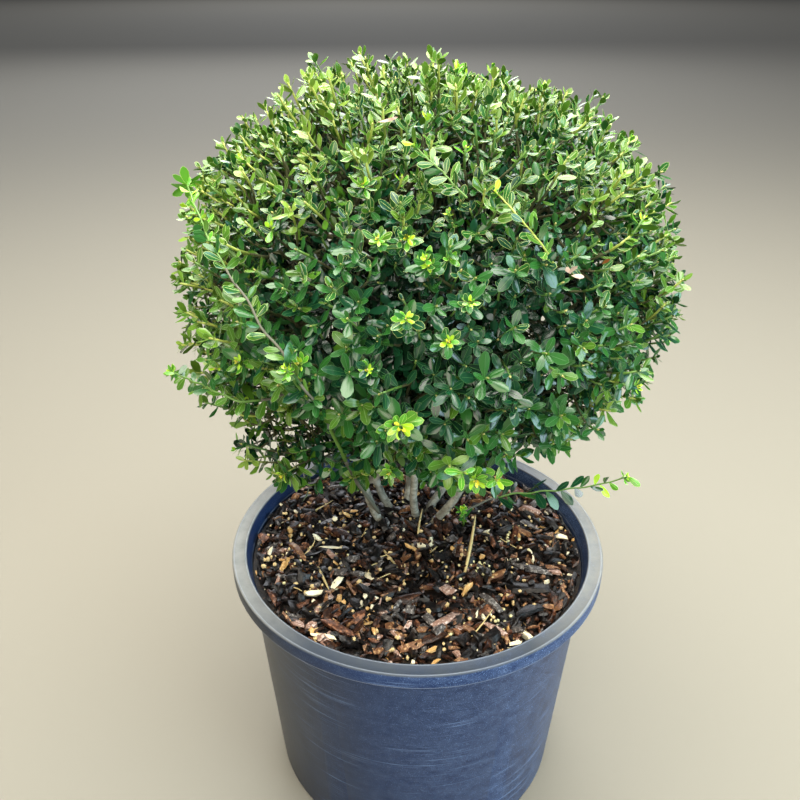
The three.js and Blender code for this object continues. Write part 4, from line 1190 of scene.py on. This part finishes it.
# Twigs, shoots and buds, and the arrays of all leaves
def makeCrown():
    starts, ends, owner, seeds = placeTwigs(masses)
    twigWays = unit(ends - crown["centre"] + up * twigs["lift"])
    twigLines = archedLines(starts, ends, twigWays, twigs["points"], twigs["pull"])
    grown = placeShoots()
    extra = np.array([pointing(polar, turn) for polar, turn, _ in newTips])
    tips = crown["centre"] + extra * (crownReach(extra) - 1)[:, None]
    spots = np.vstack([grown["spots"], extra])
    ends = np.vstack([grown["ends"], tips])
    ways = np.vstack([grown["ways"], unit(extra + up * shoots["tipLift"])])
    depth = np.concatenate([grown["depth"], np.zeros(len(extra))])
    roots = rootShoots(ends, ways, twigLines, owner, seeds)
    count, new = len(ends), len(extra)
    isFresh = (dice.random(count) < shoots["freshShare"]) & (depth < shoots["freshDepth"])
    isFresh[-new:] = False
    sizes = dice.uniform(*shoots["leafSizes"], count)
    sizes *= np.interp(spots[:, 2], byHeight["height"], byHeight["size"])
    lengths = np.linalg.norm(ends - roots, axis=1)
    leafy = np.minimum(dice.uniform(*shoots["leafy"], count), shoots["leafyShare"] * lengths)
    tones = shootTones(spots, depth)
    leaves = leafShoots(roots, ends, ways, spots, tones, isFresh, leafy, sizes)
    rosettes = leafWhorls(tips, ways[-new:], np.array([size for _, _, size in newTips]), holly)

    old = newFinish("olderTwigBark", twigs["bark"], 0.8)
    yellow = newFinish("yellowGreenBark", shoots["yellow"], 0.5)
    green = newFinish("midGreenBark", shoots["green"], 0.5)
    worn = newFinish("greyBrownBark", shoots["greyBrown"], 0.7)
    shares = np.linspace(0, 1, twigs["points"])
    radii = np.tile(lerp(twigs["baseRadius"], twigs["tipRadius"], shares), (len(twigLines), 1))
    makeTubes("twigsOfMasses", twigLines, radii, twigs["sides"], old, "bark")
    lines = archedLines(roots, ends, ways, shoots["points"])
    shares = np.linspace(0, 1, shoots["points"])
    radii = np.tile(lerp(shoots["baseRadius"], shoots["tipRadius"], shares), (count, 1))
    turn = shoots["youngFrom"]
    makeTubes("fineTwigs", lines[:, :turn + 1], radii[:, :turn + 1], shoots["oldSides"], old, "bark")
    # young bark is yellow-green where the shoot's tone, with its painted light, is pale
    pale = tones > shoots["paleFrom"]
    for name, mine, finish in (("yellowShoots", pale, yellow), ("greenShoots", ~pale, green)):
        makeTubes(name, lines[mine][:, turn:], radii[mine][:, turn:], shoots["youngSides"], finish, "foliage")
    budded = depth < shoots["budDepth"]
    makeBuds(ends[budded], ways[budded])
    return [np.concatenate(item) for item in zip(leaves, rosettes, makeLongShoots(worn, green, yellow))]


# Margins and midribs. The pale ones are dealt from the other end, so that few leaves have two margins.
def makeMargins(edged):
    for name, colour, kinds, shares in margins["tints"]:
        _, *mine = zip(*[item for item in edged if item[0] in kinds])
        corners, ways, size, back, height, deal = [np.concatenate(item) for item in mine]
        share = np.interp(height, margins["heights"], shares)
        dealt = deal > 1 - share if name.startswith("pale") else deal < share
        kept = (back < margins["depth"]) & (size > margins["rimFrom"]) & dealt
        ribbed = kept & (size > margins["midribFrom"])
        finish = newFinish(name + "Finish", colour, 0.4)
        dress(newPiece(name, *marginArrays(corners[kept], ways[kept]), finish), "foliage")
        strips, one = midribArrays(corners[ribbed], ways[ribbed])
        dress(newPiece(name.replace("Margins", "Midribs"), strips, one, finish), "foliage")


# One piece for each tint of leaves near the outline, and one for those deeper in
def makeLeaves(leaves):
    roots, directions, faces, long, kind = leaves
    wide = long * dice.uniform(*leaf["slimness"], len(long))
    spots = unit(roots - crown["centre"])
    inward = crownReach(spots) - np.linalg.norm(roots - crown["centre"], axis=1)
    near = (inward < leaf["nearDepth"]) | (kind > palestOld)
    shapes = {layer: leafShape(*leaf[layer]) for layer in ("near", "deep")}
    nodes = [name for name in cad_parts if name.startswith("foliage_")] + ["low_shoot"]
    edged = []
    for i, (name, colour) in enumerate(tints):
        finish = newFinish(name, colour, leaf["roughness"], leaf["ior"])
        for layer, mine in (("near", near & (kind == i)), ("deep", ~near & (kind == i))):
            if mine.any():
                shape, one = shapes[layer]
                corners = leafArrays([item[mine] for item in (roots, directions, faces, long, wide)], shape)
                piece = newPiece(name + layer.title() + "Leaves", corners, one, finish)
                dress(piece, "foliage", *(nodes if piece.name == "leafHollyNearLeaves" else []))
                if layer == "near":
                    deal = dice.random(len(corners))
                    edged.append((i, corners, faces[mine], long[mine], inward[mine], spots[mine, 2], deal))
    makeMargins(edged)


makeLeaves(makeCrown())
print("crown made")

# A plain pale floor, soft lights (name, place, size, watts and colour), and the camera at the photo's angle
studio = {
    "floor": "#747066", "floorSize": 60, "sky": "#e4eaf3", "skyStrength": 0.2,
    "lamps": [
        ("overhead", (0.1, 0.25, 2.0), 2.2, 164, "#fffcf0"), ("front", (0.3, -1.4, 2.1), 1.3, 28, "#eef2ea"),
        ("back", (-0.5, 4.6, 3.4), 4, 200, "#f4f8ff"), ("far", (-0.5, 16, 7), 8, 750, "#f4f8ff"),
        ("right", (1.5, -1.0, 0.8), 1.1, 42, "#c6e4f2"), ("frontLeft", (-0.6, -1.7, 0.8), 1.3, 28, "#fff4e0"),
    ],
    "aim": (0, 0.03, 0.33), "camera": (-0.013, -0.4912, 0.5919), "tilt": 61.4, "lens": 36, "sensor": 36,
}


def makeStudio():
    bpy.ops.object.select_all(action="DESELECT")
    bpy.ops.mesh.primitive_plane_add(size=studio["floorSize"])
    floor = bpy.context.active_object
    floor.name = "floor"
    floor.data.materials.append(newFinish("palePlaster", studio["floor"], 0.9))
    scene = bpy.context.scene
    scene.view_settings.view_transform = "Standard"
    scene.world = scene.world or bpy.data.worlds.new("studioSky")
    scene.world.use_nodes = True
    sky = scene.world.node_tree.nodes["Background"]
    sky.inputs["Color"].default_value = linear(studio["sky"])
    sky.inputs["Strength"].default_value = studio["skyStrength"]
    for name, place, size, power, colour in studio["lamps"]:
        bpy.ops.object.light_add(type="AREA", location=place)
        lamp = bpy.context.active_object
        lamp.name = name + "Softbox"
        lamp.data.size, lamp.data.energy, lamp.data.color = size, power, linear(colour)[:3]
        aim = np.array(studio["aim"]) - np.array(place)
        flat = math.hypot(aim[0], aim[1])
        lamp.rotation_euler = (math.atan2(flat, -aim[2]), 0, math.atan2(aim[1], aim[0]) - math.pi / 2)
    bpy.ops.object.camera_add(location=studio["camera"], rotation=(math.radians(studio["tilt"]), 0, 0))
    camera = bpy.context.active_object
    camera.data.lens, camera.data.sensor_width = studio["lens"], studio["sensor"]
    camera.data.clip_start = 0.01
    scene.camera = camera


makeStudio()
print("studio made")
